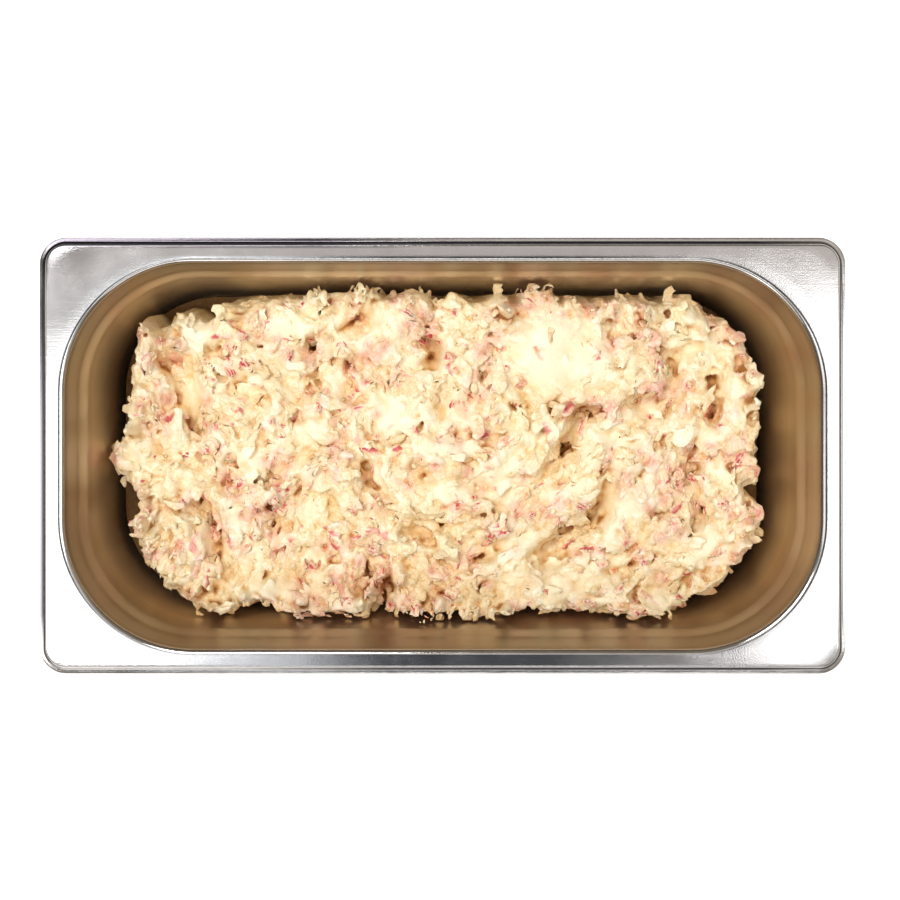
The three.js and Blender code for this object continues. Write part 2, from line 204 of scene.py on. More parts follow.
# Pits torn into the spread: place, direction in degrees, length, width, depth; then how many small ones.
PITS = [
    (-5, 41, 97, 22, 3.2, 2.6), (-97, -30, 94, 17, 4.0, 3.0), (53, 3, 75, 13, 5.0, 4.0),
    (65, 17, 32, 7.5, 5.0, 3.5), (108, 3, 74, 19, 2.6, 3.0), (114, 34, 106, 15, 2.4, 3.0),
    (70, -14, 79, 8.5, 3.4, 3.5), (107, -32, 67, 15, 2.6, 3.0), (-55, 47, 67, 8, 4.0, 2.5),
    (-22, -59, 84, 7, 3.0, 4.5), (-29, -17, 27, 9, 2.6, 2.5), (92, 45, 108, 9, 2.2, 3.5),
    (92, 27, 45, 8.5, 1.8, 3.5), (81, -48, 81, 8, 2.2, 2.5), (-109, 12, 101, 6.5, 2.2, 3.0),
    (-92, -12, 39, 8, 2.6, 2.5), (67, -24, 42, 8, 2.4, 3.0), (46, -40, 46, 9, 2.6, 2.5),
    (62, -29, 14, 7, 2.6, 2.5), (-99, 43, 129, 9, 1.5, 3.0), (-32, 5, 65, 8, 2.2, 2.2),
    (58, 15, 50, 4, 2.2, 3.5), (-33, 23, 65, 6.5, 2.6, 2.5), (44, -49, 117, 6, 3.0, 2.5),
    (-96, -45, 63, 6, 2.2, 3.0), (-106, 3, 80, 5, 1.5, 4.0), (-116, 39, 136, 4.4, 2.6, 2.5),
    (-70, 21, 102, 4.1, 2.6, 3.0), (37, -50, 11, 7, 1.8, 2.5), (16, -58, 91, 3.7, 2.2, 3.0),
]
SMALL_PITS = 230
SMALL_PIT = ((1.6, 6.0), (0.9, 1.9), (0.8, 3.2))
SMALL_PIT_AREA = (140, 70)

# Places where the dressing lies smooth over the shreds: centre and reach.
SMOOTH_PATCHES = [
    ((48, 41), (28, 20)), ((-104, 50), (7, 6)), ((-66, 53), (12, 6)), ((-20, 12), (9, 6)),
    ((78, -24), (9, 7)), ((-70, -58), (11, 5)), ((112, -38), (6, 8)),
]

# Elsewhere it lies in patches about this far apart, and smooths them by this share.
COAT_SPACING = 9
COAT_SHARE = 0.75

# The reach over which each of the two levels the shreds, and how high it stands above them.
FILM_COAT = (1.4, 0.4)
SMOOTH_COAT = (3.0, 0.7)

# The spread's surface is worked out on a raster and sampled onto the mesh. Shreds lie on the heap's form
# smoothed over LEVEL_REACH.
RASTER_STEP = 0.33
RASTER_HALF_LENGTH = 150
RASTER_HALF_WIDTH = 76
LEVEL_REACH = 1.2
MESH_STEP = 0.66

# The body is a fine remesh of relief and sunken flakes from this height up, over a plain base.
VOXEL = 0.55
BODY_FOOT = 16
BODY_CLEARANCE = 0.7
FLAKE_CLEARANCE = 0.5
BODY_LIMIT = 195000
MELT = 2
BASE_LEVELS = (1.1, 2.5, 5, 9, 14, BODY_FOOT + 4)

# Flakes laid into the surface: how many, length, width as a share of it, thickness, bend, tilt, sinking.
FLAKE_SEED = 7
FLAKE_AREA = (146, 73)
FLAKE_COLUMNS = 7
FLAKE_ROWS = 5
FLAKE_LIMIT = 2400
FLAKES = ((3.5, 15.0), (0.24, 0.52), (0.9, 1.9), (0.0, 0.9), 0.35, (-0.5, 0.25))
STEEPEST = 0.55
PINK_SHARE = 0.12

# Thin crisp flakes that lie on the body, the same way.
CRISP_LIMIT = 1150
CRISP_FLAKES = ((2.6, 12.0), (0.2, 0.5), (0.3, 0.7), (0.0, 0.8), 0.3, (-0.5, 0.0))
CRISP_PINK_SHARE = 0.12

# The crab stick's outside on top of them, the same way: patches, then threads; and how strong the red is.
SKIN_KINDS = [
    (540, ((2.6, 9.5), (0.3, 0.7), (0.25, 0.5), (0.1, 1.0), 0.35, (-0.15, 0.15)), (0.12, 0.72)),
    (230, ((1.6, 7.0), (0.13, 0.28), (0.3, 0.5), (0.1, 1.2), 0.4, (0.0, 0.3)), (0.35, 0.9)),
]
HALO_REACH = 2.8
HALO_STRENGTH = 0.25
CLUMP_SPACING = 11

# The most visible of the crab stick's patches: place, direction in degrees, length, width, strength.
MARKS = [
    (74, -52, 99, 9, 5, 0.4), (75, -58, 60, 6, 3, 0.5), (108, -12, 141, 6.2, 4.5, 0.6),
    (60, 10, 76, 12, 2.6, 0.45), (-109, -2, 160, 8, 3, 0.7), (-11, 30, 34, 7.5, 4, 0.4),
    (-44, 18, 136, 7.6, 2.4, 0.5), (-80, -8, 159, 4.2, 2.4, 0.6), (10, 46, 51, 4.9, 2.4, 0.5),
    (1, -62, 9, 7.9, 1.7, 0.6), (7, -38, 119, 5.4, 3, 0.95), (-38, -25, 145, 4.8, 2.3, 0.5),
    (-76, 28, 8, 5.7, 2.6, 0.5), (7, -54, 175, 5.4, 2, 0.5), (57, -33, 53, 4, 2.4, 0.9),
    (33, 28, 125, 3.8, 3, 0.5), (83, -40, 61, 5.4, 2, 0.6), (-8, -50, 138, 3.3, 2.3, 0.6),
    (95, -55, 44, 7, 2, 0.6), (77, 38, 72, 5.4, 2.1, 0.4), (75, 13, 3, 4.6, 2, 0.5),
    (114, 20, 79, 5.5, 2, 0.7), (-12, 44, 124, 4, 2, 0.6), (101, -62, 154, 3.6, 2.4, 0.95),
    (44, -59, 171, 2.9, 2.2, 0.8), (22, -27, 22, 4.2, 2.2, 0.8), (129, 33, 69, 4, 2, 0.6),
]

# Large pieces that stand out at the edge: centre, direction and rise in degrees, length, width, tone.
CHUNKS = [
    (-139.5, -4, 61, 80, 8, 13, 7, 1.0), (-138, -13.5, 58, 75, 10, 6, 3.2, 0.6),
    (131, -12.5, 65, 20, 12, 10, 4.5, 0.5), (132.5, -1, 62, 75, -6, 11, 6, 1.0),
    (135, -34, 63, -35, 10, 9, 4, 0.4), (123, -51, 58, -30, -10, 10, 5, 0.9),
    (115, -60, 60, -15, -8, 11, 5.5, 0.9), (-57, -73, 63, -70, -12, 8, 4.5, 0.6),
    (-12, -74, 64, -80, -8, 7, 4, 0.7), (97, 67, 66, 60, 10, 8, 4, 0.4),
    (24, 70, 67, 85, 12, 7, 5, 0.3), (-104, -72, 62, -60, -10, 8, 4, 0.6),
]
MARK_THICKNESS = 0.4
CHUNK_THICKNESS = 1.8

# How far round a point its hollow and its valley are measured for the painted shade in them, and the depth
# that counts as full.
HOLLOW_REACHES = ((1.3, 1.6), (6.5, 4.5))

# Loose flakes follow the slopes of the body smoothed over this reach.
REST_REACH = 1.4

# What the front's shadow adds to hollows, valleys and shade, and how far forward it sets in.
FRONT_SHADE = {"hollow": 0.1, "valley": 0.34, "shade": 0.12}
FRONT_FADE = (42, 60)

# Painted shade darkens the spread towards the bottom of the gap along the wall, between these heights, and
# from higher up where it lies outside the heap's outline. The painted shade is lighter at the back, where the
# light reaches the gap.
SHADE_TOP = 48
SHADE_FOOT = 40
OUTSIDE_RISE = 12
LIT_BACK = (48, 58)
LIT_BACK_ENDS = (80, 95)
LIT_BACK_SHARE = 0.8

WHITE = (1, 1, 1)
BLACK = (0, 0, 0)
FLOOR_REACH = 4000

# Area lights, in metres: name, place, what each points at or straight down, size, energy, colour.
LIGHTS = [
    ("back_key", (-0.45, 0.62, 1.3), (0, 0, 0.07), (0.8, 0.3), 9.6, WHITE),
    ("left_light", (-1.0, -0.235, 1.3), None, (1.24, 0.53), 8.6, WHITE),
    ("left_fade", (-0.84, 0.09, 1.3), None, (0.92, 0.12), 0.2, WHITE),
    ("left_fill", (-0.27, -0.25, 1.3), None, (0.22, 0.7), 0.48, (0.90, 0.95, 1.0)),
    ("right_light", (1.0, -0.11, 1.3), None, (1.14, 0.48), 6, WHITE),
    ("right_fill", (0.36, -0.2, 1.3), None, (0.22, 0.6), 0.1, (1.0, 0.95, 0.9)),
    ("right_end", (0.45, -0.43, 1.3), None, (0.34, 0.2), 0.4, WHITE),
    ("front_panel", (0.0, -1.6, 0.85), (0, 0, 0.1), (1.8, 0.7), 4.6, WHITE),
    ("low_left", (-0.7, -1.2, 0.5), (-0.1, 0, 0.1), (1.0, 0.5), 1.9, WHITE),
    ("back_light", (0.0, 0.31, 1.3), None, (1.6, 0.44), 1.35, (1.0, 0.91, 0.85)),
    ("front_light", (0.1, -0.84, 1.3), None, (0.9, 0.2), 1.4, WHITE),
]

# The camera looks straight down from above the pan's back half, and its shift frames the pan as in the photo.
CAMERA_RISE = 500
CAMERA_AT = (-5, 32)
FRAME_WIDTH = 361.4
FRAME_CENTRE = (3.0, 2.4)
SENSOR_WIDTH = 36


def smooth_step(low, high, value):
    t = np.clip((value - low) / (high - low), 0, 1)
    return t * t * (3 - 2 * t)


def lattice_value(i, j, shift):
    """Repeatable pseudo-random number from 0 to 1 for points of a whole-number lattice."""
    wave = np.sin(i * 127.1 + j * 311.7 + shift * 74.7) * 43758.5453
    return wave - np.floor(wave)


def soft_noise(x, y, shift):
    """Smooth noise from -0.5 to 0.5 with bumps about one unit apart."""
    i = np.floor(x)
    j = np.floor(y)
    u = smooth_step(0, 1, x - i)
    v = smooth_step(0, 1, y - j)
    near = lattice_value(i, j, shift) * (1 - u) + lattice_value(i + 1, j, shift) * u
    far = lattice_value(i, j + 1, shift) * (1 - u) + lattice_value(i + 1, j + 1, shift) * u
    return near * (1 - v) + far * v - 0.5


def catmull_rom(points, segments, closed):
    """A smooth line through the points, with this many segments in all."""
    points = np.array(points, float)
    spans = len(points) if closed else len(points) - 1
    place = np.linspace(0, spans, segments + 1)
    span = np.minimum(place.astype(int), spans - 1)
    t = (place - span)[:, None]
    if closed:
        p = [points[(span + k) % spans] for k in (-1, 0, 1, 2)]
    else:
        p = [points[np.clip(span + k, 0, spans)] for k in (-1, 0, 1, 2)]
    start = (p[2] - p[0]) / 2
    end = (p[3] - p[1]) / 2
    cubic = 2 * p[1] - 2 * p[2] + start + end
    square = -3 * p[1] + 3 * p[2] - 2 * start - end
    return cubic * t**3 + square * t**2 + start * t + p[1]


def along_line(line, x, y):
    """For each point: the distance to the line, its side, and how far along the nearest place is."""
    nearest = np.full(x.shape, np.inf)
    side = np.zeros(x.shape)
    along = np.zeros(x.shape)
    last = len(line) - 1
    for k in range(last):
        start = line[k]
        run = line[k + 1] - start
        share = np.clip(((x - start[0]) * run[0] + (y - start[1]) * run[1]) / (run @ run), 0, 1)
        gap = np.hypot(x - start[0] - run[0] * share, y - start[1] - run[1] * share)
        closer = gap < nearest
        nearest = np.where(closer, gap, nearest)
        side = np.where(closer, run[0] * (y - start[1]) - run[1] * (x - start[0]), side)
        along = np.where(closer, (k + share) / last, along)
    return nearest, side, along


OUTLINE_LOOP = catmull_rom(FOOD_OUTLINE, len(FOOD_OUTLINE) * 4, True)


def depth_inside(x, y):
    """How far each point lies inside the heap's outline, and below zero outside it."""
    nearest = along_line(OUTLINE_LOOP, x, y)[0]
    inside = np.zeros(x.shape, bool)
    for a, b in zip(OUTLINE_LOOP[:-1], OUTLINE_LOOP[1:]):
        if a[1] == b[1]:
            continue
        crossed = ((a[1] > y) != (b[1] > y)) & (x < a[0] + (y - a[1]) / (b[1] - a[1]) * (b[0] - a[0]))
        inside ^= crossed
    return np.where(inside, nearest, -nearest)


def wandered(x, y):
    """The same places pushed about, so that edges and strokes look torn."""
    across, up = [WANDER * soft_noise(x / WANDER_SPACING, y / WANDER_SPACING, shift) for shift in (131, 197)]
    return x + across, y + up


def squared_gap(x, y, at, reach):
    """The square of the distance to a place, in units of its reach along X and Y."""
    return ((x - at[0]) / reach[0]) ** 2 + ((y - at[1]) / reach[1]) ** 2


def stroke_drop(stroke, x, y):
    """How far one spoon stroke lowers the spread."""
    points, depth, steep, gentle = stroke
    nearest, side, along = along_line(catmull_rom(points, STROKE_SEGMENTS, False), x, y)
    reach = np.where(side > 0, gentle, steep)
    fade = smooth_step(0, 0.25, along) * smooth_step(0, 0.25, 1 - along)
    return STROKE_DEPTH * depth * fade * np.exp(-((nearest / reach) ** 2))


def broad_height(x, y):
    """The heap's form, as in the frame, and the distance inside its ragged outline."""
    wander_x, wander_y = wandered(x, y)
    inner = depth_inside(wander_x, wander_y)
    top = np.full(x.shape, float(PLATEAU))
    for at, reach, height in SWELLS:
        top += height * np.exp(-squared_gap(x, y, at, reach))
    for spacing, height, shift in LUMPS:
        top += height * soft_noise(x / spacing, y / spacing, shift)
    for stroke in STROKES:
        top -= stroke_drop(stroke, wander_x, wander_y)
    side = smooth_step(-SIDE_OUT, SIDE_IN, inner)
    return WALL_LEVEL + (top - WALL_LEVEL) * side, inner


def blurred(field, reach):
    """The field smoothed by a bell curve with this reach in millimetres."""
    cells = reach / RASTER_STEP
    taps = np.arange(-int(3 * cells) - 1, int(3 * cells) + 2)
    weights = np.exp(-0.5 * (taps / cells) ** 2)
    weights /= weights.sum()
    for axis in (0, 1):
        pad = [(0, 0), (0, 0)]
        pad[axis] = (-taps[0], taps[-1])
        padded = np.pad(field, pad, mode="edge")
        size = field.shape[axis]
        field = sum(w * np.take(padded, range(k, k + size), axis) for k, w in enumerate(weights))
    return field


def creases(x, y):
    """The narrow dark slit that follows the steep side of each spoon stroke."""
    ragged_x, ragged_y = wandered(x, y)
    ragged_x = ragged_x + RAGGED * soft_noise(x / RAGGED_SPACING, y / RAGGED_SPACING, 17)
    ragged_y = ragged_y + RAGGED * soft_noise(x / RAGGED_SPACING, y / RAGGED_SPACING, 29)
    broken = smooth_step(-0.2, 0.1, soft_noise(x / 9, y / 9, 61))
    slit = np.zeros(x.shape)
    for points, *_ in STROKES:
        nearest, side, along = along_line(catmull_rom(points, STROKE_SEGMENTS, False), ragged_x, ragged_y)
        offset = np.where(side > 0, nearest, -nearest) + CREASE_OFFSET
        fade = smooth_step(0, 0.2, along) * smooth_step(0, 0.2, 1 - along) * broken
        slit = np.maximum(slit, CREASE_DEPTH * fade * np.exp(-((offset / CREASE_WIDTH) ** 2)))
    return slit


def grain_direction(x, y):
    """The direction in which shreds lie: along the spoon strokes, and wandering between them."""
    wander = 4 * math.pi * soft_noise(x / GRAIN_SPACING, y / GRAIN_SPACING, 311)
    across = GRAIN_WANDER * np.cos(wander)
    up = GRAIN_WANDER * np.sin(wander)
    steps = np.arange(STROKE_SEGMENTS + 1)
    for points, *_ in STROKES:
        line = catmull_rom(points, STROKE_SEGMENTS, False)
        run = np.gradient(line, axis=0)
        nearest, _, along = along_line(line, x, y)
        angle = np.interp(along * STROKE_SEGMENTS, steps, np.unwrap(np.arctan2(run[:, 1], run[:, 0])))
        weight = np.exp(-((nearest / GRAIN_REACH) ** 2))
        across += weight * np.cos(2 * angle)
        up += weight * np.sin(2 * angle)
    return np.arctan2(up, across) / 2


class Surface:
    """The spread's surface on a raster: height, the tone of the piece on top, and the pink stain."""

    def __init__(self):
        xs = np.arange(-RASTER_HALF_LENGTH, RASTER_HALF_LENGTH + RASTER_STEP, RASTER_STEP)
        ys = np.arange(-RASTER_HALF_WIDTH, RASTER_HALF_WIDTH + RASTER_STEP, RASTER_STEP)
        self.x, self.y = np.meshgrid(xs, ys)
        self.broad, self.inner = broad_height(self.x, self.y)
        self.smooth = blurred(self.broad, LEVEL_REACH)
        self.slope_y, self.slope_x = np.gradient(self.smooth, RASTER_STEP)
        self.grain = grain_direction(self.x, self.y)
        self.height = self.broad - GROUND_DEPTH * smooth_step(-4, 2, self.inner)
        self.tone = np.full(self.height.shape, 0.5)
        self.stain = np.zeros(self.height.shape)

    def sample(self, field, x, y):
        """The field at any points, between the raster's cells."""
        u = np.clip((x + RASTER_HALF_LENGTH) / RASTER_STEP, 0, field.shape[1] - 1.001)
        v = np.clip((y + RASTER_HALF_WIDTH) / RASTER_STEP, 0, field.shape[0] - 1.001)
        i = u.astype(int)
        j = v.astype(int)
        u = u - i
        v = v - j
        near = field[j, i] * (1 - u) + field[j, i + 1] * u
        far = field[j + 1, i] * (1 - u) + field[j + 1, i + 1] * u
        return near * (1 - v) + far * v

    def window(self, x, y, reach):
        """The raster's cells within reach of a point."""
        i = int((x + RASTER_HALF_LENGTH) / RASTER_STEP)
        j = int((y + RASTER_HALF_WIDTH) / RASTER_STEP)
        n = int(reach / RASTER_STEP) + 1
        return slice(max(j - n, 0), j + n + 1), slice(max(i - n, 0), i + n + 1)

    def press_shred(self, x, y, yaw, length, width, thickness, lift, tilt, taper, tone):
        """One torn shred: a tilted flat sliver with tapered ends, wherever it stands above the rest."""
        cells = self.window(x, y, length / 2)
        dx = self.x[cells] - x
        dy = self.y[cells] - y
        u = (dx * math.cos(yaw) + dy * math.sin(yaw)) / (length / 2)
        v = (dy * math.cos(yaw) - dx * math.sin(yaw)) / (width / 2)
        v = (v + 0.2 * np.sin(3.1 * u + 9 * tone)) / (1 + taper * u)
        fill = 1 - u**4 - v**4
        j, i = self.at(x, y)
        slope_x = self.slope_x[j, i] + tilt[0]
        slope_y = self.slope_y[j, i] + tilt[1]
        level = self.smooth[j, i] + lift + dx * slope_x + dy * slope_y
        top = level + thickness * (np.sqrt(np.clip(fill, 0, 1)) - 0.5)
        higher = (fill > 0) & (top > self.height[cells])
        self.height[cells] = np.where(higher, top, self.height[cells])
        self.tone[cells] = np.where(higher, tone, self.tone[cells])

    def press_pit(self, x, y, yaw, length, width, depth):
        """One torn pit with ragged sides, steep on its far side and gentle on its near one."""
        cells = self.window(x, y, length / 2 + width)
        across = self.x[cells]
        up = self.y[cells]
        dx = across - x + 1.2 * soft_noise(across / 1.7, up / 1.7, 83)
        dy = up - y + 1.2 * soft_noise(across / 1.7, up / 1.7, 89)
        u = (dx * math.cos(yaw) + dy * math.sin(yaw)) / (length / 2)
        v = (dy * math.cos(yaw) - dx * math.sin(yaw)) / (width / 2)
        v = np.where(v > 0, v, 0.55 * v)
        self.height[cells] -= depth * smooth_step(0, 0.6, 1 - u**2 - v**2)

    def at(self, x, y):
        """The raster's cell that holds a point, or each of many points."""
        i = np.clip((x + RASTER_HALF_LENGTH) / RASTER_STEP, 0, self.x.shape[1] - 1)
        j = np.clip((y + RASTER_HALF_WIDTH) / RASTER_STEP, 0, self.x.shape[0] - 1)
        return np.asarray(j).astype(int), np.asarray(i).astype(int)


def strands(surface):
    """Fine fibres along the grain, made of random dots smeared that way, from about -2 to 2."""
    rng = np.random.default_rng(SHRED_SEED + 1)
    dots = blurred(rng.normal(0, 1, surface.x.shape), 0.3)
    total = dots.copy()
    for turn in (0, math.pi):
        x = surface.x.copy()
        y = surface.y.copy()
        heading = surface.grain + turn
        for _ in range(STRAND_STEPS):
            x += STRAND_STRIDE * RASTER_STEP * np.cos(heading)
            y += STRAND_STRIDE * RASTER_STEP * np.sin(heading)
            cells = surface.at(x, y)
            total += dots[cells]
            heading = surface.grain[cells] + math.pi * np.round((heading - surface.grain[cells]) / math.pi)
    return total / total.std()


def shred(surface):
    """Cover the heap with torn shreds, large and small, then let the dressing fill what is narrow."""
    rng = np.random.default_rng(SHRED_SEED)
    for count, lengths, shares, thicknesses, lifts, slope in SHRED_KINDS:
        for _ in range(count):
            x, y = [rng.uniform(-reach, reach) for reach in SHRED_AREA]
            length = lengths[0] + (lengths[1] - lengths[0]) * rng.random() ** 1.6
            width = length * rng.uniform(*shares)
            yaw = surface.grain[surface.at(x, y)] + rng.normal(0, GRAIN_SPREAD)
            thickness = rng.uniform(*thicknesses)
            lift = rng.uniform(*lifts)
            tilt = rng.uniform(-slope, slope, 2)
            taper = rng.uniform(-0.5, 0.5)
            tone = rng.random()
            if surface.inner[surface.at(x, y)] > -1:
                surface.press_shred(x, y, yaw, length, width, thickness, lift, tilt, taper, tone)
    surface.height = np.maximum(surface.height, blurred(surface.height, FILL_REACH) - FILL_DEPTH)
    surface.height -= creases(surface.x, surface.y) * smooth_step(0, 5, surface.inner)
    for x, y, yaw, length, width, depth in PITS:
        surface.press_pit(x, y, math.radians(yaw), length, width, depth)
    for _ in range(SMALL_PITS):
        x, y = [rng.uniform(-reach, reach) for reach in SMALL_PIT_AREA]
        yaw = surface.grain[surface.at(x, y)] + rng.normal(0, 0.7)
        sizes = [rng.uniform(*limits) for limits in SMALL_PIT]
        if surface.inner[surface.at(x, y)] > 4:
            surface.press_pit(x, y, yaw, *sizes)
    smooth = np.zeros(surface.height.shape)
    for at, reach in SMOOTH_PATCHES:
        smooth = np.maximum(smooth, np.exp(-(squared_gap(surface.x, surface.y, at, reach) ** 2)))
    ragged = 0.35 * soft_noise(surface.x / 6, surface.y / 6, 53)
    smooth = smooth * smooth_step(-0.25, 0.2, ragged + smooth - 0.45)
    film = soft_noise(surface.x / COAT_SPACING, surface.y / COAT_SPACING, 71)
    film = film + 0.5 * soft_noise(surface.x / 3.1, surface.y / 3.1, 73)
    film = COAT_SHARE * smooth_step(0.0, 0.22, film) * smooth_step(2, 6, surface.inner)
    for (reach, rise), share in ((FILM_COAT, film), (SMOOTH_COAT, smooth)):
        surface.height += (blurred(surface.height, reach) + rise - surface.height) * share
    surface.coat = np.maximum(smooth, film)
    surface.height = blurred(surface.height, 0.25)
    surface.tone = blurred(surface.tone, 0.25)
    surface.strand = strands(surface)
    bare = 1 - 0.8 * surface.coat
    surface.height += STRAND_HEIGHT * surface.strand * bare * smooth_step(0, 3, surface.inner)
    surface.finished = surface.height


def mesh_object(name, vertices, faces):
    """An object from arrays: vertices in millimetres, faces all with the same number of corners."""
    mesh = bpy.data.meshes.new(name)
    faces = np.asarray(faces, np.int32)
    corners = faces.shape[1]
    mesh.vertices.add(len(vertices))
    mesh.vertices.foreach_set("co", (np.asarray(vertices, float) * MM).ravel())
    mesh.loops.add(faces.size)
    mesh.loops.foreach_set("vertex_index", faces.ravel())
    mesh.polygons.add(len(faces))
    mesh.polygons.foreach_set("loop_start", np.arange(0, faces.size, corners, dtype=np.int32))
    mesh.polygons.foreach_set("use_smooth", np.ones(len(faces), bool))
    mesh.update(calc_edges=True)
    mesh.validate()
    piece = bpy.data.objects.new(name, mesh)
    bpy.context.collection.objects.link(piece)
    return piece


def set_attribute(piece, name, values, kind="FLOAT"):
    """A number or a vector for each vertex, read by the material."""
    attribute = piece.data.attributes.new(name, kind, "POINT")
    field = "value" if kind == "FLOAT" else "vector"
    attribute.data.foreach_set(field, np.asarray(values, np.float32).ravel())


def ring_mesh(name, rings):
    """An object through equal rings of points, closed by a flat face at each end."""
    count = len(rings[0])
    a = np.arange(count)
    b = (a + 1) % count
    quads = [np.column_stack([a, b, b + count, a + count]) + r * count for r in range(len(rings) - 1)]
    piece = mesh_object(name, np.vstack(rings), np.vstack(quads))
    mesh = bmesh.new()
    mesh.from_mesh(piece.data)
    mesh.verts.ensure_lookup_table()
    for loop in (a[::-1], a + (len(rings) - 1) * count):
        mesh.faces.new([mesh.verts[k] for k in loop.tolist()]).smooth = True
    mesh.to_mesh(piece.data)
    mesh.free()
    return piece


def slab_faces(rows, columns):
    """The faces of a slab: a grid on top, the same grid below it, and a wall round their edges."""
    k = np.arange(rows * columns).reshape(rows, columns)
    corners = (k[:-1, :-1], k[:-1, 1:], k[1:, 1:], k[1:, :-1])
    over = np.column_stack([corner.ravel() for corner in corners])
    rim = np.concatenate([k[0, :-1], k[:-1, -1], k[-1, :0:-1], k[:0:-1, 0]])
    following = np.roll(rim, -1)
    walls = np.column_stack([following, rim, rim + k.size, following + k.size])
    return np.vstack([over, over[:, ::-1] + k.size, walls])


def rounded_ring(half_length, half_width, radius):
    """Points round a rectangle with rounded corners, anticlockwise."""
    angles = np.arange(CORNER_SEGMENTS + 1) / CORNER_SEGMENTS
    turns = []
    for corner, (sign_x, sign_y) in enumerate(((1, 1), (-1, 1), (-1, -1), (1, -1))):
        centre = np.array([sign_x * (half_length - radius), sign_y * (half_width - radius)])
        angle = (corner + angles) * math.pi / 2
        turns.append(centre + radius * np.column_stack([np.cos(angle), np.sin(angle)]))
    ring = []
    for turn, following in zip(turns, turns[1:] + turns[:1]):
        run = following[0] - turn[-1]
        ring.extend(turn)
        ring.extend(turn[-1] + run * k / SIDE_SEGMENTS for k in range(1, SIDE_SEGMENTS))
    return np.array(ring)


def pan_ring(inset, z):
    """The pan's outline at one inset from its outer edge, as in the frame."""
    lip_radius = OUTER_CORNER_RADIUS - inset
    wall_radius = OPENING_CORNER_RADIUS + RIM_WIDTH - inset
    share = min(max((inset - STEP_END) / (RIM_WIDTH - RIM_FILLET - STEP_END), 0), 1)
    radius = lip_radius + (wall_radius - lip_radius) * share
    ring = rounded_ring(HALF_LENGTH - inset, HALF_WIDTH - inset, radius)
    return np.column_stack([ring, np.full(len(ring), z)])


def bezier(points, segments):
    a, b, c, d = np.array(points, float)
    t = np.linspace(0, 1, segments + 1)[:, None]
    return (1 - t)**3 * a + 3 * (1 - t)**2 * t * b + 3 * (1 - t) * t**2 * c + t**3 * d


def arc(centre, radius, start, end, segments):
    angle = np.linspace(start, end, segments + 1)
    return np.column_stack([centre[0] + radius * np.cos(angle), centre[1] + radius * np.sin(angle)])


def pan_section():
    """The sheet's upper side from the lip to the floor: inset and height."""
    shoulder_start = RIM_WIDTH + UPPER_WALL_INSET
    shoulder_end = shoulder_start + SHOULDER_INSET
    floor = -(PAN_HEIGHT - SHEET)
    wall_foot = floor + FOOT_RADIUS * (1 - math.sin(WALL_TAPER))
    wall_foot_inset = shoulder_end + (-SHOULDER_FOOT - wall_foot) * math.tan(WALL_TAPER)
    foot_centre = (wall_foot_inset + FOOT_RADIUS * math.cos(WALL_TAPER), floor + FOOT_RADIUS)
    lip = bezier([
        (LIP_WIDTH, -LIP_DROP), (LIP_WIDTH + STEP_CURVE, -LIP_DROP),
        (STEP_END - STEP_CURVE, 0), (STEP_END, 0),
    ], 10)
    flat = np.linspace((STEP_END, 0), (RIM_WIDTH - RIM_FILLET, 0), 5)[1:-1]
    turn = arc((RIM_WIDTH - RIM_FILLET, -RIM_FILLET), RIM_FILLET, math.pi / 2, 0, 10)
    band = np.linspace((RIM_WIDTH, -RIM_FILLET), (shoulder_start, -SHOULDER_TOP), 5)[1:-1]
    shoulder = bezier([
        (shoulder_start, -SHOULDER_TOP), (shoulder_start, -SHOULDER_TOP - SHOULDER_CURVE),
        (shoulder_end, -SHOULDER_FOOT + SHOULDER_CURVE), (shoulder_end, -SHOULDER_FOOT),
    ], 10)
    wall = np.linspace((shoulder_end, -SHOULDER_FOOT), (wall_foot_inset, wall_foot), 9)[1:-1]
    foot = arc(foot_centre, FOOT_RADIUS, math.pi + WALL_TAPER, 1.5 * math.pi, 12)
    return np.vstack([lip, flat, turn, band, shoulder, wall, foot])


def moved_section(section, distance):
    """The same section moved along its normals, towards the underside when the distance is positive."""
    along = np.gradient(section, axis=0)
    along /= np.linalg.norm(along, axis=1, keepdims=True)
    return section + distance * np.column_stack([along[:, 1], -along[:, 0]])


def rolled_edge():
    """The rounded edge of the sheet that joins the underside to the upper side at the lip."""
    return arc((SHEET / 2, -LIP_DROP - SHEET / 2), SHEET / 2, -math.pi / 2, -1.5 * math.pi, 6)


def make_pan():
    above = pan_section()
    below = moved_section(above, SHEET)
    stations = np.vstack([below[::-1], rolled_edge(), above])
    rings = [pan_ring(inset, PAN_HEIGHT + z) for inset, z in stations]
    piece = ring_mesh("steel_pan", rings)
    count = len(rings[0])
    upper = np.arange(len(rings) * count) >= (len(rings) - len(above) - 1) * count
    paint_pan(piece, np.vstack(rings), np.repeat(stations[:, 0], count), upper)
    return piece


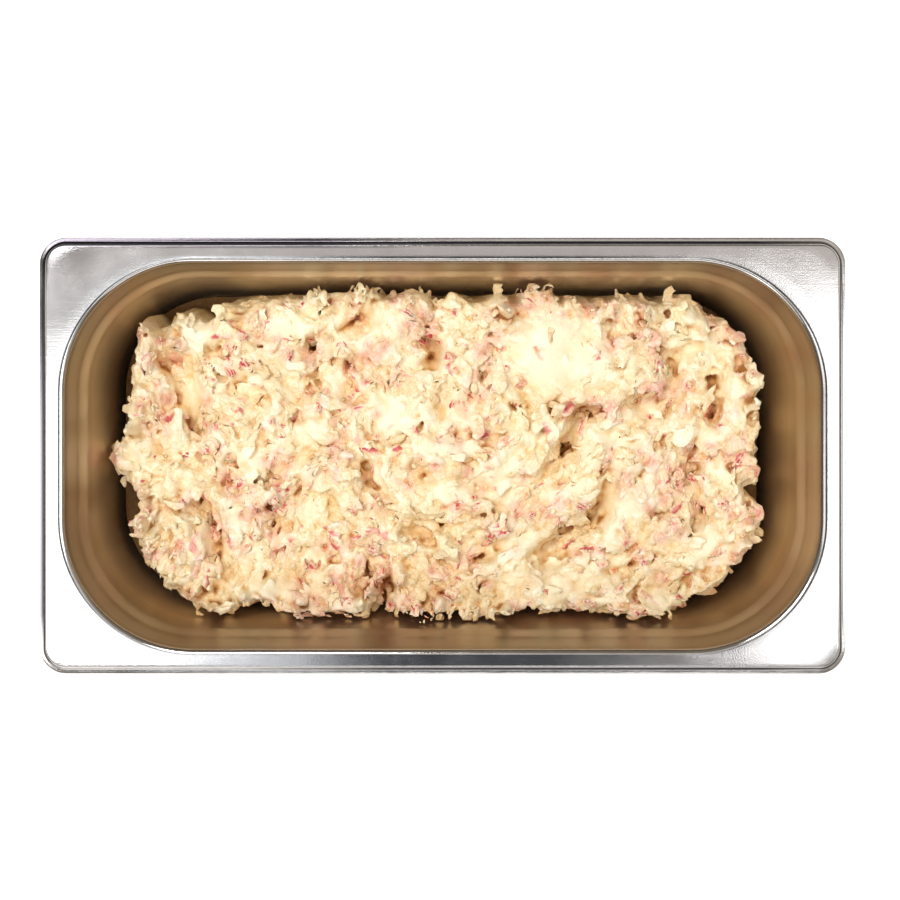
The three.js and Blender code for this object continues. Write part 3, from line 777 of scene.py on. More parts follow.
def paint_pan(piece, points, inset, upper):
    """What the steel's material reads: depth for the wall's painted reflection, the painted dark lines on the
    upper side, painted brightness and the inside.
    """
    x, y, z = points.T
    depth = PAN_HEIGHT - z
    across = y / HALF_WIDTH
    lean = 1 + WALL_REFLECTION_LEAN * across
    # Painted reflection of the spread on the wall, by depth, pale sooner at the back.
    set_attribute(piece, "depth", np.clip(depth / WALL_REFLECTION_DEPTH * lean, 0, 1))
    left, right = [smooth_step(0.8, 1.0, sign * x / HALF_LENGTH) for sign in (-1, 1)]
    front, back = [smooth_step(0.75, 1.0, sign * across) for sign in (-1, 1)]
    long_sides = np.maximum(front, back)
    # Painted dark reflection lines on the upper side of the rim, and painted dark on the flat at the back
    # left and in that corner.
    line_start, line_end = [at + by_right * right + by_long_sides * long_sides
                            for at, by_right, by_long_sides in (LINE_START, LINE_END)]
    line = smooth_step(-0.2, 0.3, inset - line_start) * smooth_step(-0.3, 0.4, line_end - inset)
    line *= 1 - FRONT_LEFT_FADE * front * smooth_step(10, 70, -x)
    back_left = BACK_LEFT_DARK * back * smooth_step(-10, 45, -x) * smooth_step(-4.8, -3.8, -inset)
    corner = CORNER_DARK * back * left * smooth_step(-8, -5, -inset)
    set_attribute(piece, "lip", upper * np.max([line, back_left, corner], axis=0))
    upper = upper & (inset > STEP_END)
    # Painted dark reflection line along the opening's rounded edge.
    edge_start = RIM_WIDTH - OPENING_LINE[0] - OPENING_LINE[1] * right
    edge = smooth_step(0, 0.7, inset - edge_start) * smooth_step(-5, -3, 1.5 * back - 2.4 * right - depth)
    on_front, on_left, on_back, on_right = OPENING_SHARES
    share = np.max([on_front + on_left * left, on_back * back, on_right * right], axis=0)
    set_attribute(piece, "edge", upper * edge * share)
    # Painted brighter reflection on the wall at the right end.
    set_attribute(piece, "painted_brightness", RIGHT_PAINTED_BRIGHTNESS * right)
    set_attribute(piece, "inside", upper * smooth_step(0.8, 1.8, depth))


def inside_inset(z):
    """How far in from the pan's outer edge the spread's side lies at a height."""
    section = moved_section(pan_section(), -FOOD_GAP)
    wall = section[section[:, 1] < FOOD_GAP - SHOULDER_FOOT][::-1]
    return np.interp(z - PAN_HEIGHT, wall[:, 1], wall[:, 0])


def row_reach(y, half_length, half_width, radius):
    """Half the length of a rounded rectangle at a distance across it."""
    over = np.clip(np.abs(y) - (half_width - radius), 0, radius)
    return half_length - radius + np.sqrt(radius**2 - over**2)


def inside_outline(clearance, level):
    """Half length, half width and corner radius of the space inside the pan at a height."""
    inset = inside_inset(level) + clearance
    return HALF_LENGTH - inset, HALF_WIDTH - inset, OPENING_CORNER_RADIUS + RIM_WIDTH - inset


def relief_slab(surface):
    """The raster's surface inside the pan, closed by a flat foot, as vertices and quads."""
    half_length, half_width, radius = inside_outline(BODY_CLEARANCE, BODY_FOOT)
    columns = int(2 * half_length / MESH_STEP)
    rows = int(2 * half_width / MESH_STEP)
    y = np.linspace(-half_width, half_width, rows + 1)
    reach = row_reach(y, half_length, half_width, radius)
    grid_x = np.linspace(-1, 1, columns + 1)[None, :] * reach[:, None]
    grid_y = np.repeat(y[:, None], columns + 1, 1)
    z = np.maximum(surface.sample(surface.height, grid_x, grid_y), BODY_FOOT + 2)
    top = np.column_stack([grid_x.ravel(), grid_y.ravel(), z.ravel()])
    foot = top * [1, 1, 0] + [0, 0, BODY_FOOT]
    return np.vstack([top, foot]), slab_faces(rows + 1, columns + 1)


def make_base():
    """The plain lower part of the spread, which fills the pan's foot."""
    rings = []
    for level in BASE_LEVELS:
        ring = rounded_ring(*inside_outline(0, level))
        rings.append(np.column_stack([ring, np.full(len(ring), float(level))]))
    return ring_mesh("spread_base", rings)


def with_modifier(piece, kind, **settings):
    """Give the piece the mesh that one modifier makes of it."""
    modifier = piece.modifiers.new(kind, kind)
    for name, value in settings.items():
        setattr(modifier, name, value)
    evaluated = piece.evaluated_get(bpy.context.evaluated_depsgraph_get())
    mesh = bpy.data.meshes.new_from_object(evaluated)
    piece.modifiers.clear()
    old = piece.data
    piece.data = mesh
    bpy.data.meshes.remove(old)


def triangle_count(piece):
    piece.data.calc_loop_triangles()
    return len(piece.data.loop_triangles)


def make_body(surface, flakes):
    """Relief and sunken flakes grown together into one soft skin."""
    vertices, faces = relief_slab(surface)
    flake_points, flake_faces, flake_tones, flake_stains = flakes
    all_points = np.vstack([vertices, flake_points])
    all_faces = np.vstack([faces, flake_faces + len(vertices)])
    piece = mesh_object("spread_body", all_points, all_faces)
    source = BVHTree.FromPolygons(all_points.tolist(), all_faces.tolist())
    with_modifier(piece, "REMESH", mode="VOXEL", voxel_size=VOXEL * MM, adaptivity=0.0)
    with_modifier(piece, "SMOOTH", factor=0.5, iterations=MELT)
    with_modifier(piece, "DECIMATE", ratio=min(1, BODY_LIMIT / triangle_count(piece)))
    piece.data.polygons.foreach_set("use_smooth", np.ones(len(piece.data.polygons), bool))
    points = np.empty(len(piece.data.vertices) * 3)
    piece.data.vertices.foreach_get("co", points)
    points = points.reshape(-1, 3) / MM
    tones = np.concatenate([np.full(len(faces), -1.0), flake_tones])
    nearest = np.array([source.find_nearest(point)[2] for point in points.tolist()])
    tone = tones[nearest]
    x, y, _ = points.T
    tone = np.where(tone < 0, surface.sample(surface.tone, x, y) * 0.6, tone)
    set_attribute(piece, "tone", tone)
    stain = np.concatenate([np.zeros(len(faces)), flake_stains])[nearest]
    set_attribute(piece, "stain", np.maximum(stain, surface.sample(surface.stain, x, y)))
    settle(surface, points)
    set_shading(piece, surface, points)
    set_attribute(piece, "coat", surface.sample(surface.coat, x, y))
    return piece


def settle(surface, points):
    """Raise the raster to the finished body, so that loose flakes lie on it and follow its slopes."""
    u = ((points[:, 0] + RASTER_HALF_LENGTH) / RASTER_STEP).astype(int)
    v = ((points[:, 1] + RASTER_HALF_WIDTH) / RASTER_STEP).astype(int)
    top = surface.height.copy()
    np.maximum.at(top, (v, u), points[:, 2])
    surface.finished = blurred(top, 0.5)
    surface.slope_y, surface.slope_x = np.gradient(blurred(top, REST_REACH), RASTER_STEP)
    surface.around = [blurred(top, reach) for reach, _ in HOLLOW_REACHES]


def set_shading(piece, surface, points, loose=False):
    """For painted shade: how far each point lies below its near and wider surroundings, 0.5 where level, and
    its shade.
    """
    x, y, z = points.T
    inner = surface.sample(surface.inner, x, y)
    within = smooth_step(0, 4, inner)
    front = smooth_step(*FRONT_FADE, -y)
    for name, around, (_, full) in zip(("hollow", "valley"), surface.around, HOLLOW_REACHES):
        below = np.clip((surface.sample(around, x, y) - z) / (2 * full), -0.5, 0.5)
        set_attribute(piece, name, np.clip(0.5 + within * below + FRONT_SHADE[name] * front, 0, 1))
    set_attribute(piece, "strand", np.clip(0.5 + 0.2 * surface.sample(surface.strand, x, y), 0, 1))
    # Painted shade along the front, towards the bottom of the gap and outside the outline, lighter at the
    # back.
    front = FRONT_SHADE["shade"] * front
    low = smooth_step(-SHADE_TOP, -SHADE_FOOT, -z)
    outside = smooth_step(1.2, 4, -inner) * (not loose)
    outside = outside * smooth_step(-SHADE_TOP - OUTSIDE_RISE, -SHADE_TOP, -z)
    shade = np.maximum(front + (1 - front) * low, outside)
    lit_back = smooth_step(*LIT_BACK, y) * (1 - smooth_step(*LIT_BACK_ENDS, np.abs(x)))
    set_attribute(piece, "shade", shade * (1 - LIT_BACK_SHARE * lit_back))


def flake_shapes(rng, length, width, thickness, bends):
    """Torn flakes that lie flat at the origin, count by vertices by three, and their own coordinates."""
    count = len(length)
    u, v = np.meshgrid(np.linspace(-1, 1, FLAKE_COLUMNS), np.linspace(-1, 1, FLAKE_ROWS))
    u = np.tile(u.ravel(), 2)[None, :]
    v = np.tile(v.ravel(), 2)[None, :]
    upper = np.repeat([1.0, -1.0], u.size // 2)[None, :]

    def draw(low, high):
        return rng.uniform(low, high, (count, 1))

    x = length / 2 * u * np.sqrt(1 - 0.5 * v**2)
    y = width / 2 * v * np.sqrt(1 - 0.5 * u**2) * (1 + draw(-0.6, 0.6) * u)
    y = y + draw(-0.2, 0.2) * length * (u**2 - 0.4)
    rim = np.maximum(np.abs(u), np.abs(v)) ** 3
    z = upper * thickness / 2 * (1 - 0.6 * rim)
    z = z - draw(*bends) * (u**2 - 0.3) * rng.choice([-0.4, 1, 1], (count, 1)) * length / 8
    z = z + draw(-0.7, 0.7) * u * v * width / 4 + draw(-0.2, 0.6) * (v**2 - 0.3) * width / 3
    ragged = rng.normal(0, 0.085, (3, count, u.size // 2))
    ragged = np.concatenate([ragged, ragged], 2) * width
    return np.stack([x + ragged[0], y + ragged[1], z + ragged[2] * 0.6], 2), u, v


def turn_flakes(shapes, centres, normals, yaw):
    """Turn each flake so that it lies across its normal, pointing along yaw, and move it to its centre."""
    normals = normals / np.linalg.norm(normals, axis=1, keepdims=True)
    along = np.column_stack([np.cos(yaw), np.sin(yaw), np.zeros(len(yaw))])
    along -= normals * np.sum(along * normals, axis=1, keepdims=True)
    along /= np.linalg.norm(along, axis=1, keepdims=True)
    across = np.cross(normals, along)
    axes = (along, across, normals)
    return sum(shapes[:, :, k:k + 1] * axis[:, None] for k, axis in enumerate(axes)) + centres[:, None]


def lay_flakes(surface, rng, places, yaw, shapes, tilt_limit, sinking):
    """Turn each flake onto the surface at its place, with a tilt of its own, and sink it a little."""
    count = len(places)
    slopes = (surface.slope_x, surface.slope_y)
    slope = np.column_stack([surface.sample(field, *places.T) for field in slopes])
    slope *= np.minimum(1, STEEPEST / np.maximum(np.linalg.norm(slope, axis=1, keepdims=True), 1e-9))
    normal = np.column_stack([-slope, np.ones(count)])
    normal[:, :2] += np.tan(rng.uniform(-tilt_limit, tilt_limit, (count, 2)))
    normal /= np.linalg.norm(normal, axis=1, keepdims=True)
    z = surface.sample(surface.finished, *places.T)
    centre = np.column_stack([places, z]) + normal * rng.uniform(*sinking, (count, 1))
    return turn_flakes(shapes, centre, normal, yaw)


def chunk_flakes(rng):
    """The pieces that stand out at the heap's edge."""
    x, y, z, yaw, pitch, length, width, tone = np.array(CHUNKS).T
    yaw = np.radians(yaw)
    pitch = np.radians(pitch)
    sizes = (length[:, None], width[:, None], np.full((len(x), 1), CHUNK_THICKNESS))
    shapes = flake_shapes(rng, *sizes, (0.3, 1.2))[0]
    normals = np.column_stack([-np.sin(pitch) * np.cos(yaw), -np.sin(pitch) * np.sin(yaw), np.cos(pitch)])
    return turn_flakes(shapes, np.column_stack([x, y, z]), normals, yaw), tone


def keep_inside_pan(points):
    """Push points back from the pan's wall, so that nothing pierces the sheet."""
    level = np.clip(points[:, 2], 20, PAN_HEIGHT - SHOULDER_FOOT)
    half_length, half_width, radius = inside_outline(FLAKE_CLEARANCE, level)
    corner = np.column_stack([half_length - radius, half_width - radius])
    centre = np.clip(points[:, :2], -corner, corner)
    out = points[:, :2] - centre
    reach = np.linalg.norm(out, axis=1)
    share = np.minimum(1, radius / np.maximum(reach, 1e-9))
    points[:, :2] = centre + out * share[:, None]
    return points


def scatter_places(surface, rng, count, least_inner, sparse, clumped=False):
    """Random places on the heap, fewer where the dressing lies smooth, or in clumps."""
    places = np.column_stack([rng.uniform(-reach, reach, count * 5) for reach in FLAKE_AREA])
    inner = surface.sample(surface.inner, *places.T)
    coat = surface.sample(surface.coat, *places.T)
    keep = (inner > least_inner) & (rng.random(len(places)) > sparse * coat)
    if clumped:
        crowd = soft_noise(places[:, 0] / CLUMP_SPACING, places[:, 1] / CLUMP_SPACING, 401)
        keep &= rng.random(len(places)) < smooth_step(-0.3, 0.3, crowd)
    return places[keep][:count]


def flake_cloud(surface, rng, places, kind):
    """A flake at each place on the heap, count by vertices by three, and their own coordinates."""
    lengths, shares, thicknesses, bends, tilt_limit, sinking = kind
    count = len(places)
    length = lengths[0] + (lengths[1] - lengths[0]) * rng.random((count, 1)) ** 2.2
    length *= 0.65 + 0.35 * smooth_step(2, 12, surface.sample(surface.inner, *places.T))[:, None]
    width = length * rng.uniform(*shares, (count, 1))
    thickness = rng.uniform(*thicknesses, (count, 1))
    shapes, u, v = flake_shapes(rng, length, width, thickness, bends)
    yaw = surface.grain[surface.at(*places.T)] + rng.normal(0, 0.6, count)
    return lay_flakes(surface, rng, places, yaw, shapes, tilt_limit, sinking), u, v


def flake_mesh(points):
    """All flakes as one set of points and quads, kept clear of the pan."""
    count, corners = points.shape[:2]
    pattern = slab_faces(FLAKE_ROWS, FLAKE_COLUMNS)
    faces = (pattern + corners * np.arange(count)[:, None, None]).reshape(-1, 4)
    return keep_inside_pan(points.reshape(-1, 3)), faces


def tint_under_skins(surface, places):
    """A faint pink halo in the dressing round each skin."""
    for x, y in places:
        reach = HALO_REACH * (0.6 + lattice_value(x, y, 5))
        cells = surface.window(x, y, 2.5 * reach)
        gap = np.hypot(surface.x[cells] - x, surface.y[cells] - y)
        halo = HALO_STRENGTH * lattice_value(x, y, 9) * np.exp(-((gap / reach) ** 2))
        surface.stain[cells] = np.maximum(surface.stain[cells], halo)


def pink_edges(rng, across, share, strongest, widest):
    """A pink stain along one side of some of the flakes, of random strength and width."""
    count = len(across)
    edge = across * rng.choice([-1, 1], (count, 1))
    pink = (rng.random((count, 1)) < share) * rng.uniform(0.1, strongest, (count, 1))
    return pink * np.clip(edge + rng.uniform(-0.3, widest, (count, 1)), 0, 1)


def sunken_flakes(surface):
    """Thick flakes for the body: points, faces, and a tone and a pink stain for each face."""
    rng = np.random.default_rng(FLAKE_SEED)
    places = scatter_places(surface, rng, FLAKE_LIMIT, least_inner=-0.5, sparse=0.92)
    scattered, _, v = flake_cloud(surface, rng, places, FLAKES)
    chunks, chunk_tones = chunk_flakes(rng)
    all_flakes = np.concatenate([scattered, chunks])
    tones = np.concatenate([0.8 * rng.random(len(scattered)), chunk_tones])
    across = v[0, slab_faces(FLAKE_ROWS, FLAKE_COLUMNS)].mean(1)
    stains = pink_edges(rng, np.tile(across, (len(all_flakes), 1)), PINK_SHARE, 0.5, 0.6)
    return *flake_mesh(all_flakes), np.repeat(tones, len(across)), stains.ravel()


def laid_piece(name, surface, cloud, tones, stains, fibres):
    """A piece made of loose flakes, with what its material reads."""
    points, faces = flake_mesh(cloud)
    piece = mesh_object(name, points, faces)
    set_attribute(piece, "tone", np.repeat(tones, cloud.shape[1]))
    set_attribute(piece, "stain", stains.ravel())
    set_attribute(piece, "fibre", fibres.ravel(), "FLOAT_VECTOR")
    set_attribute(piece, "coat", np.zeros(len(points)))
    set_shading(piece, surface, points, loose=True)
    return piece


def fibre_places(rng, count, u, v):
    """Where each point of a flake lies in the streaks, which run along it."""
    start = 40 * rng.random((2, count, 1))
    return np.stack([u * 0.6 + start[0], v * rng.uniform(0.5, 1.2, (count, 1)), start[1] + 0 * u], 2)


def make_crisp_flakes(surface, rng):
    """Thin creamy flakes with crisp edges, some with a pink one."""
    places = scatter_places(surface, rng, CRISP_LIMIT, least_inner=2.0, sparse=0.9)
    cloud, u, v = flake_cloud(surface, rng, places, CRISP_FLAKES)
    count = len(cloud)
    stains = pink_edges(rng, np.tile(v, (count, 1)), CRISP_PINK_SHARE, 0.6, 0.3)
    tones = 0.7 * rng.random(count)
    return laid_piece("spread_flakes", surface, cloud, tones, stains, fibre_places(rng, count, u, v))


def mark_flakes(surface, rng):
    """The most visible patches, each at its own place."""
    x, y, yaw, length, width, strength = np.array(MARKS).T
    sizes = (length[:, None], width[:, None], np.full((len(x), 1), MARK_THICKNESS))
    shapes, u, v = flake_shapes(rng, *sizes, (0.1, 0.8))
    cloud = lay_flakes(surface, rng, np.column_stack([x, y]), np.radians(yaw), shapes, 0.1, (0.1, 0.3))
    return cloud, u, v, strength[:, None]


def make_skins(surface, rng, all_places):
    """Thin flakes of the crab stick's outside, pink to red in streaks that fade at their edges."""
    batches = [mark_flakes(surface, rng)]
    for places, (_, kind, strengths) in zip(all_places, SKIN_KINDS):
        cloud, u, v = flake_cloud(surface, rng, places, kind)
        strength = strengths[0] + (strengths[1] - strengths[0]) * rng.beta(1.2, 1.3, (len(cloud), 1))
        batches.append((cloud, u, v, strength))
    laid = []
    for cloud, u, v, strength in batches:
        count = len(cloud)
        side = np.clip(u * rng.choice([-1, 1], (count, 1)), 0, 1)
        stains = strength * (1 - u**4) * (1 - v**4) * (1 - 0.5 * side)
        laid.append((cloud, stains, fibre_places(rng, count, u, v)))
    cloud, stains, fibres = [np.concatenate(parts) for parts in zip(*laid)]
    return laid_piece("spread_skins", surface, cloud, rng.random(len(cloud)), stains, fibres)


class Graph:
    """A node tree, with a method for each kind of node that the materials use."""

    def __init__(self, tree):
        self.nodes = tree.nodes
        self.links = tree.links

    def put(self, socket, value):
        """Link a socket to what gives its value, or set it to a number, a vector or a colour."""
        if isinstance(value, bpy.types.NodeSocket):
            self.links.new(value, socket)
        else:
            socket.default_value = (*value, 1) if socket.type == "RGBA" else value

    def add(self, kind, inputs, output, **settings):
        """A new node with these settings and inputs, as the socket that it gives."""
        node = self.nodes.new("ShaderNode" + kind)
        for name, value in settings.items():
            setattr(node, name, value)
        for name, value in inputs.items():
            self.put(node.inputs[name], value)
        return node.outputs[output]

    def attribute(self, name, output="Fac"):
        return self.add("Attribute", {}, output, attribute_name=name)

    def between(self, value, first, last, low=0.0, high=1.0):
        """Runs from the first number to the last while the value runs from low to high, then stays there."""
        ends = {"From Min": low, "From Max": high, "To Min": first, "To Max": last}
        return self.add("MapRange", {"Value": value, **ends}, "Result")

    def ridge(self, value, high):
        """The value stretched to 0 at the seam and 1 on the rounded top."""
        inputs = {"Value": value, "From Min": 0.0, "From Max": high}
        return self.add("MapRange", inputs, "Result", interpolation_type="SMOOTHERSTEP")

    def noise(self, vector, scale, detail=3.0, roughness=0.5, output="Fac"):
        inputs = {"Vector": vector, "Scale": scale, "Detail": detail, "Roughness": roughness}
        return self.add("TexNoise", inputs, output)

    def cells(self, vector, scale):
        """Distance to the nearest seam between cells, and a random tone for each cell."""
        inputs = {"Vector": vector, "Scale": scale}
        seams = self.add("TexVoronoi", inputs, "Distance", feature="DISTANCE_TO_EDGE")
        return seams, self.add("TexVoronoi", inputs, "Color")

    def stretched(self, vector, scale):
        return self.add("Mapping", {"Vector": vector, "Scale": scale}, "Vector")

    def warped(self, vector, scale, amount):
        """The places pushed about by noise, so that what is drawn with them looks torn."""
        inputs = {0: self.noise(vector, scale, output="Color"), 1: (amount, amount, amount), 2: vector}
        return self.add("VectorMath", inputs, "Vector", operation="MULTIPLY_ADD")

    def product(self, first, second):
        return self.add("Math", {0: first, 1: second}, "Value", operation="MULTIPLY")

    def ramp(self, value, stops):
        node = self.nodes.new("ShaderNodeValToRGB")
        elements = node.color_ramp.elements
        for element, (place, color) in ((elements[0], stops[0]), (elements[1], stops[-1])):
            element.position = place
            element.color = (*color, 1)
        for place, color in stops[1:-1]:
            elements.new(place).color = (*color, 1)
        self.links.new(value, node.inputs["Fac"])
        return node.outputs["Color"]

    def mix(self, factor, first, second, blend="MIX"):
        return self.add("Mix", {0: factor, 6: first, 7: second}, 2, data_type="RGBA", blend_type=blend)

    def bump(self, height, strength, distance, normal=None):
        inputs = {"Height": height, "Strength": strength, "Distance": distance}
        if normal:
            inputs["Normal"] = normal
        return self.add("Bump", inputs, "Normal")


def new_material(name):
    """A new material, its graph and its shader."""
    material = bpy.data.materials.new(name)
    material.use_nodes = True
    return material, Graph(material.node_tree), material.node_tree.nodes["Principled BSDF"]


def steel_material():
    """Satin steel: hazy on the rim, brushed inside, with a painted warm reflection of the food and painted
    dark edge lines.
    """
    material, graph, shader = new_material("satin_steel")
    place = graph.add("TexCoord", {}, "Object")
    smudge = graph.noise(place, 60, 6, 0.6)
    bands = graph.noise(graph.stretched(place, (6, 6, 700)), 1, 3, 0.6)
    streaks = graph.noise(graph.stretched(place, (60, 1100, 60)), 1, 3, 0.6)
    grain = graph.noise(place, 1500, 3, 0.7)
    inside = graph.attribute("inside")
    outer = graph.ramp(smudge, [(0.3, (0.59, 0.575, 0.565)), (0.7, (0.67, 0.66, 0.655))])
    # Painted dark reflection lines on the rim.
    outer = graph.mix(graph.attribute("lip"), outer, (0.04, 0.034, 0.046))
    # Painted warm reflection of the spread on the wall, darker near the rim and paler deep.
    wall = graph.ramp(graph.attribute("depth"), [
        (0.0, (0.36, 0.30, 0.225)), (0.35, (0.46, 0.385, 0.295)), (0.62, (0.95, 0.83, 0.66)),
        (1.0, (1.0, 0.93, 0.78)),
    ])
    # Painted brighter reflection at the right end.
    wall = graph.mix(graph.attribute("painted_brightness"), wall, (0.90, 0.78, 0.60))
    inner = graph.ramp(bands, [(0.3, (0.92, 0.91, 0.90)), (0.7, WHITE)])
    color = graph.mix(inside, outer, graph.mix(1.0, wall, inner, "MULTIPLY"))
    # Painted dark reflection line along the opening.
    color = graph.mix(graph.attribute("edge"), color, (0.07, 0.06, 0.055))
    graph.put(shader.inputs["Base Color"], color)
    graph.put(shader.inputs["Metallic"], 1)
    polish = graph.between(smudge, 0.10, 0.17, 0.3, 0.7)
    graph.put(shader.inputs["Roughness"], graph.between(inside, polish, 0.36))
    normal = graph.bump(streaks, 0.04, 0.0003)
    graph.put(shader.inputs["Normal"], graph.bump(grain, 0.08, 0.0003, normal))
    return material


def spread_material(name, pale, deep, streaked):
    """Moist curds and crumbs, cream to tan by tone, with pink stains, and painted shade in seams, hollows,
    valleys and the gap.
    """
    material, graph, shader = new_material(name)
    place = graph.add("TexCoord", {}, "Object")
    warped = graph.warped(place, 320, 0.0016)
    curd_seams, curd_tone = graph.cells(warped, 230)
    crumb_seams, crumb_tone = graph.cells(warped, 620)
    shade = graph.attribute("shade")
    coat = graph.attribute("coat")
    color = graph.ramp(graph.attribute("tone"), [
        (0.05, deep), (0.5, pale), (0.82, (1.0, 0.98, 0.82)), (0.9, (0.97, 0.86, 0.74)),
        (1.0, (0.80, 0.74, 0.60)),
    ])
    for scale, low, high, most, tint in (
        (140, 0.48, 0.8, 0.6, (0.94, 0.74, 0.50)),
        (45, 0.45, 0.7, 0.45, (0.95, 0.80, 0.58)),
    ):
        patches = graph.ramp(graph.noise(place, scale, 4, 0.6), [(low, BLACK), (high, (most, most, most))])
        color = graph.mix(patches, color, tint)
    color = stain_color(graph, color, streaked)
    color = graph.mix(graph.product(coat, 0.55), color, (1.0, 0.97, 0.78))
    under_coat = graph.between(coat, 1.0, 0.2)
    for value, factor, stops in (
        (curd_tone, under_coat, [(0.25, (0.93, 0.86, 0.76)), (0.5, (0.99, 0.98, 0.96)), (0.7, WHITE)]),
        (crumb_tone, under_coat, [(0.25, (0.97, 0.94, 0.89)), (0.6, WHITE)]),
        # Painted shade along the seams between curds and between crumbs.
        (curd_seams, under_coat, [(0.0, (0.88, 0.72, 0.54)), (0.03, (0.98, 0.94, 0.87)), (0.08, WHITE)]),
        (crumb_seams, under_coat, [(0.0, (0.92, 0.84, 0.73)), (0.04, (0.98, 0.96, 0.92)), (0.1, WHITE)]),
        # Painted shade in hollows and valleys, with a painted shadow along the front.
        (graph.attribute("hollow"), 1.0, [
            (0.0, WHITE), (0.5, (0.99, 0.97, 0.94)), (0.66, (0.96, 0.88, 0.77)),
            (0.82, (0.83, 0.64, 0.45)), (1.0, (0.40, 0.20, 0.09)),
        ]),
        (graph.attribute("valley"), 1.0, [
            (0.3, WHITE), (0.5, (0.99, 0.96, 0.92)), (0.68, (0.965, 0.90, 0.80)), (1.0, (0.88, 0.74, 0.57)),
        ]),
        (graph.attribute("strand"), under_coat, [
            (0.1, (0.92, 0.82, 0.69)), (0.4, (0.985, 0.965, 0.93)), (0.7, WHITE),
        ]),
        # Painted shade towards the bottom of the gap and along the front.
        (shade, 1.0, [(0.0, WHITE), (1.0, (0.20, 0.14, 0.09))]),
    ):
        color = graph.mix(factor, color, graph.ramp(value, stops), "MULTIPLY")
    graph.put(shader.inputs["Base Color"], color)
    graph.put(shader.inputs["Roughness"], graph.between(shade, 0.36, 1.0))
    normal = graph.bump(graph.ridge(curd_seams, 0.55), graph.between(coat, 0.32, 0.06), 0.0006)
    normal = graph.bump(graph.ridge(crumb_seams, 0.6), graph.between(coat, 0.6, 0.12), 0.0003, normal)
    graph.put(shader.inputs["Normal"], normal)
    return material


def stain_color(graph, under, streaked):
    """Pink where the crab stick's skin shows, redder where it is strongest."""
    stain = graph.attribute("stain")
    if streaked:
        streaks = graph.noise(graph.attribute("fibre", "Vector"), 2.2, 2, 0.6)
        stain = graph.product(stain, graph.between(streaks, 0.1, 1.0, 0.38, 0.60))
    tint = graph.ramp(stain, [
        (0.0, (0.96, 0.68, 0.62)), (0.12, (0.93, 0.55, 0.51)), (0.28, (0.78, 0.26, 0.27)),
        (0.5, (0.57, 0.06, 0.075)), (0.9, (0.34, 0.01, 0.02)),
    ])
    return graph.mix(graph.ramp(stain, [(0.0, BLACK), (0.15, (0.5, 0.5, 0.5)), (0.35, WHITE)]), under, tint)


def make_camera():
    data = bpy.data.cameras.new("camera")
    data.sensor_width = SENSOR_WIDTH
    data.lens = SENSOR_WIDTH * CAMERA_RISE / FRAME_WIDTH
    data.shift_x = (FRAME_CENTRE[0] - CAMERA_AT[0]) / FRAME_WIDTH
    data.shift_y = (FRAME_CENTRE[1] - CAMERA_AT[1]) / FRAME_WIDTH
    camera = bpy.data.objects.new("camera", data)
    camera.location = (CAMERA_AT[0] * MM, CAMERA_AT[1] * MM, (PAN_HEIGHT + CAMERA_RISE) * MM)
    bpy.context.collection.objects.link(camera)
    bpy.context.scene.camera = camera


def make_stage():
    corners = [(x * FLOOR_REACH, y * FLOOR_REACH, 0) for x, y in ((-1, -1), (1, -1), (1, 1), (-1, 1))]
    floor = mesh_object("floor", corners, [(0, 1, 2, 3)])
    material, graph, shader = new_material("pale_floor")
    graph.put(shader.inputs["Base Color"], (0.93, 0.93, 0.93))
    graph.put(shader.inputs["Roughness"], 0.8)
    graph.put(shader.inputs["Emission Color"], WHITE)
    graph.put(shader.inputs["Emission Strength"], 0.42)
    floor.data.materials.append(material)


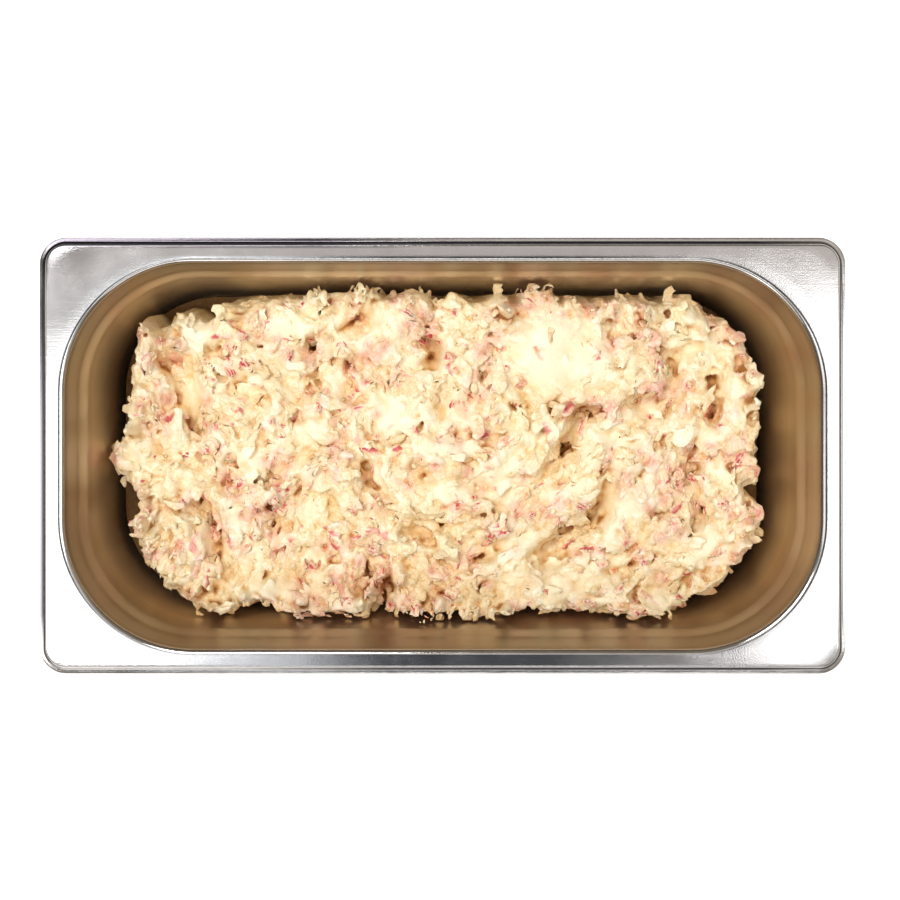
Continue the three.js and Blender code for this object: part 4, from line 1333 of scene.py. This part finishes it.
def make_lights():
    for name, place, target, size, energy, color in LIGHTS:
        light = bpy.data.lights.new(name, "AREA")
        light.shape = "RECTANGLE"
        light.size, light.size_y = size
        light.energy = energy
        light.color = color
        lamp = bpy.data.objects.new(name, light)
        lamp.location = place
        lamp.visible_camera = False
        heading = Vector(target or (*place[:2], 0)) - Vector(place)
        lamp.rotation_euler = heading.to_track_quat("-Z", "Y").to_euler()
        bpy.context.collection.objects.link(lamp)


def make_world():
    """A room with pale sides, a darker ceiling, front and back, and a dark skirting."""
    world = bpy.data.worlds.new("world")
    world.use_nodes = True
    graph = Graph(world.node_tree)
    direction = {"Vector": graph.add("TexCoord", {}, "Generated")}
    level = graph.ramp(graph.add("SeparateXYZ", direction, "Z"), [
        (0.0, (0.10, 0.10, 0.11)), (0.12, (0.14, 0.14, 0.15)), (0.3, (0.585, 0.53, 0.455)),
        (0.78, (0.535, 0.485, 0.42)), (0.92, (0.10, 0.105, 0.115)), (1.0, (0.05, 0.055, 0.065)),
    ])
    depth = graph.add("Math", {0: graph.add("SeparateXYZ", direction, "Y")}, "Value", operation="ABSOLUTE")
    side = graph.ramp(depth, [
        (0.0, WHITE), (0.35, (0.95, 0.95, 0.95)), (0.7, (0.42, 0.38, 0.32)), (1.0, (0.36, 0.32, 0.27)),
    ])
    background = world.node_tree.nodes["Background"]
    graph.put(background.inputs["Color"], graph.mix(1.0, level, side, "MULTIPLY"))
    bpy.context.scene.world = world


surface = Surface()
shred(surface)
pan = make_pan()
pan.data.materials.append(steel_material())
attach(pan, "root")
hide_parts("pan")
body_material = spread_material("creamy_spread", (0.99, 0.93, 0.69), (0.95, 0.83, 0.58), False)
skin_material = spread_material("crab_skin", (0.97, 0.86, 0.66), (0.94, 0.76, 0.58), True)
flakes = sunken_flakes(surface)
rng = np.random.default_rng(FLAKE_SEED + 1)
skin_places = [scatter_places(surface, rng, count, least_inner=2.0, sparse=0.85, clumped=True)
               for count, *_ in SKIN_KINDS]
tint_under_skins(surface, np.vstack(skin_places))
pieces = [
    (make_base(), body_material),
    (make_body(surface, flakes), body_material),
    (make_crisp_flakes(surface, rng), body_material),
    (make_skins(surface, rng, skin_places), skin_material),
]
for piece, material in pieces:
    piece.data.materials.append(material)
    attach(piece, "root")
    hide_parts("crab_spread")
make_stage()
make_lights()
make_world()
make_camera()
bpy.context.scene.view_settings.view_transform = "Standard"
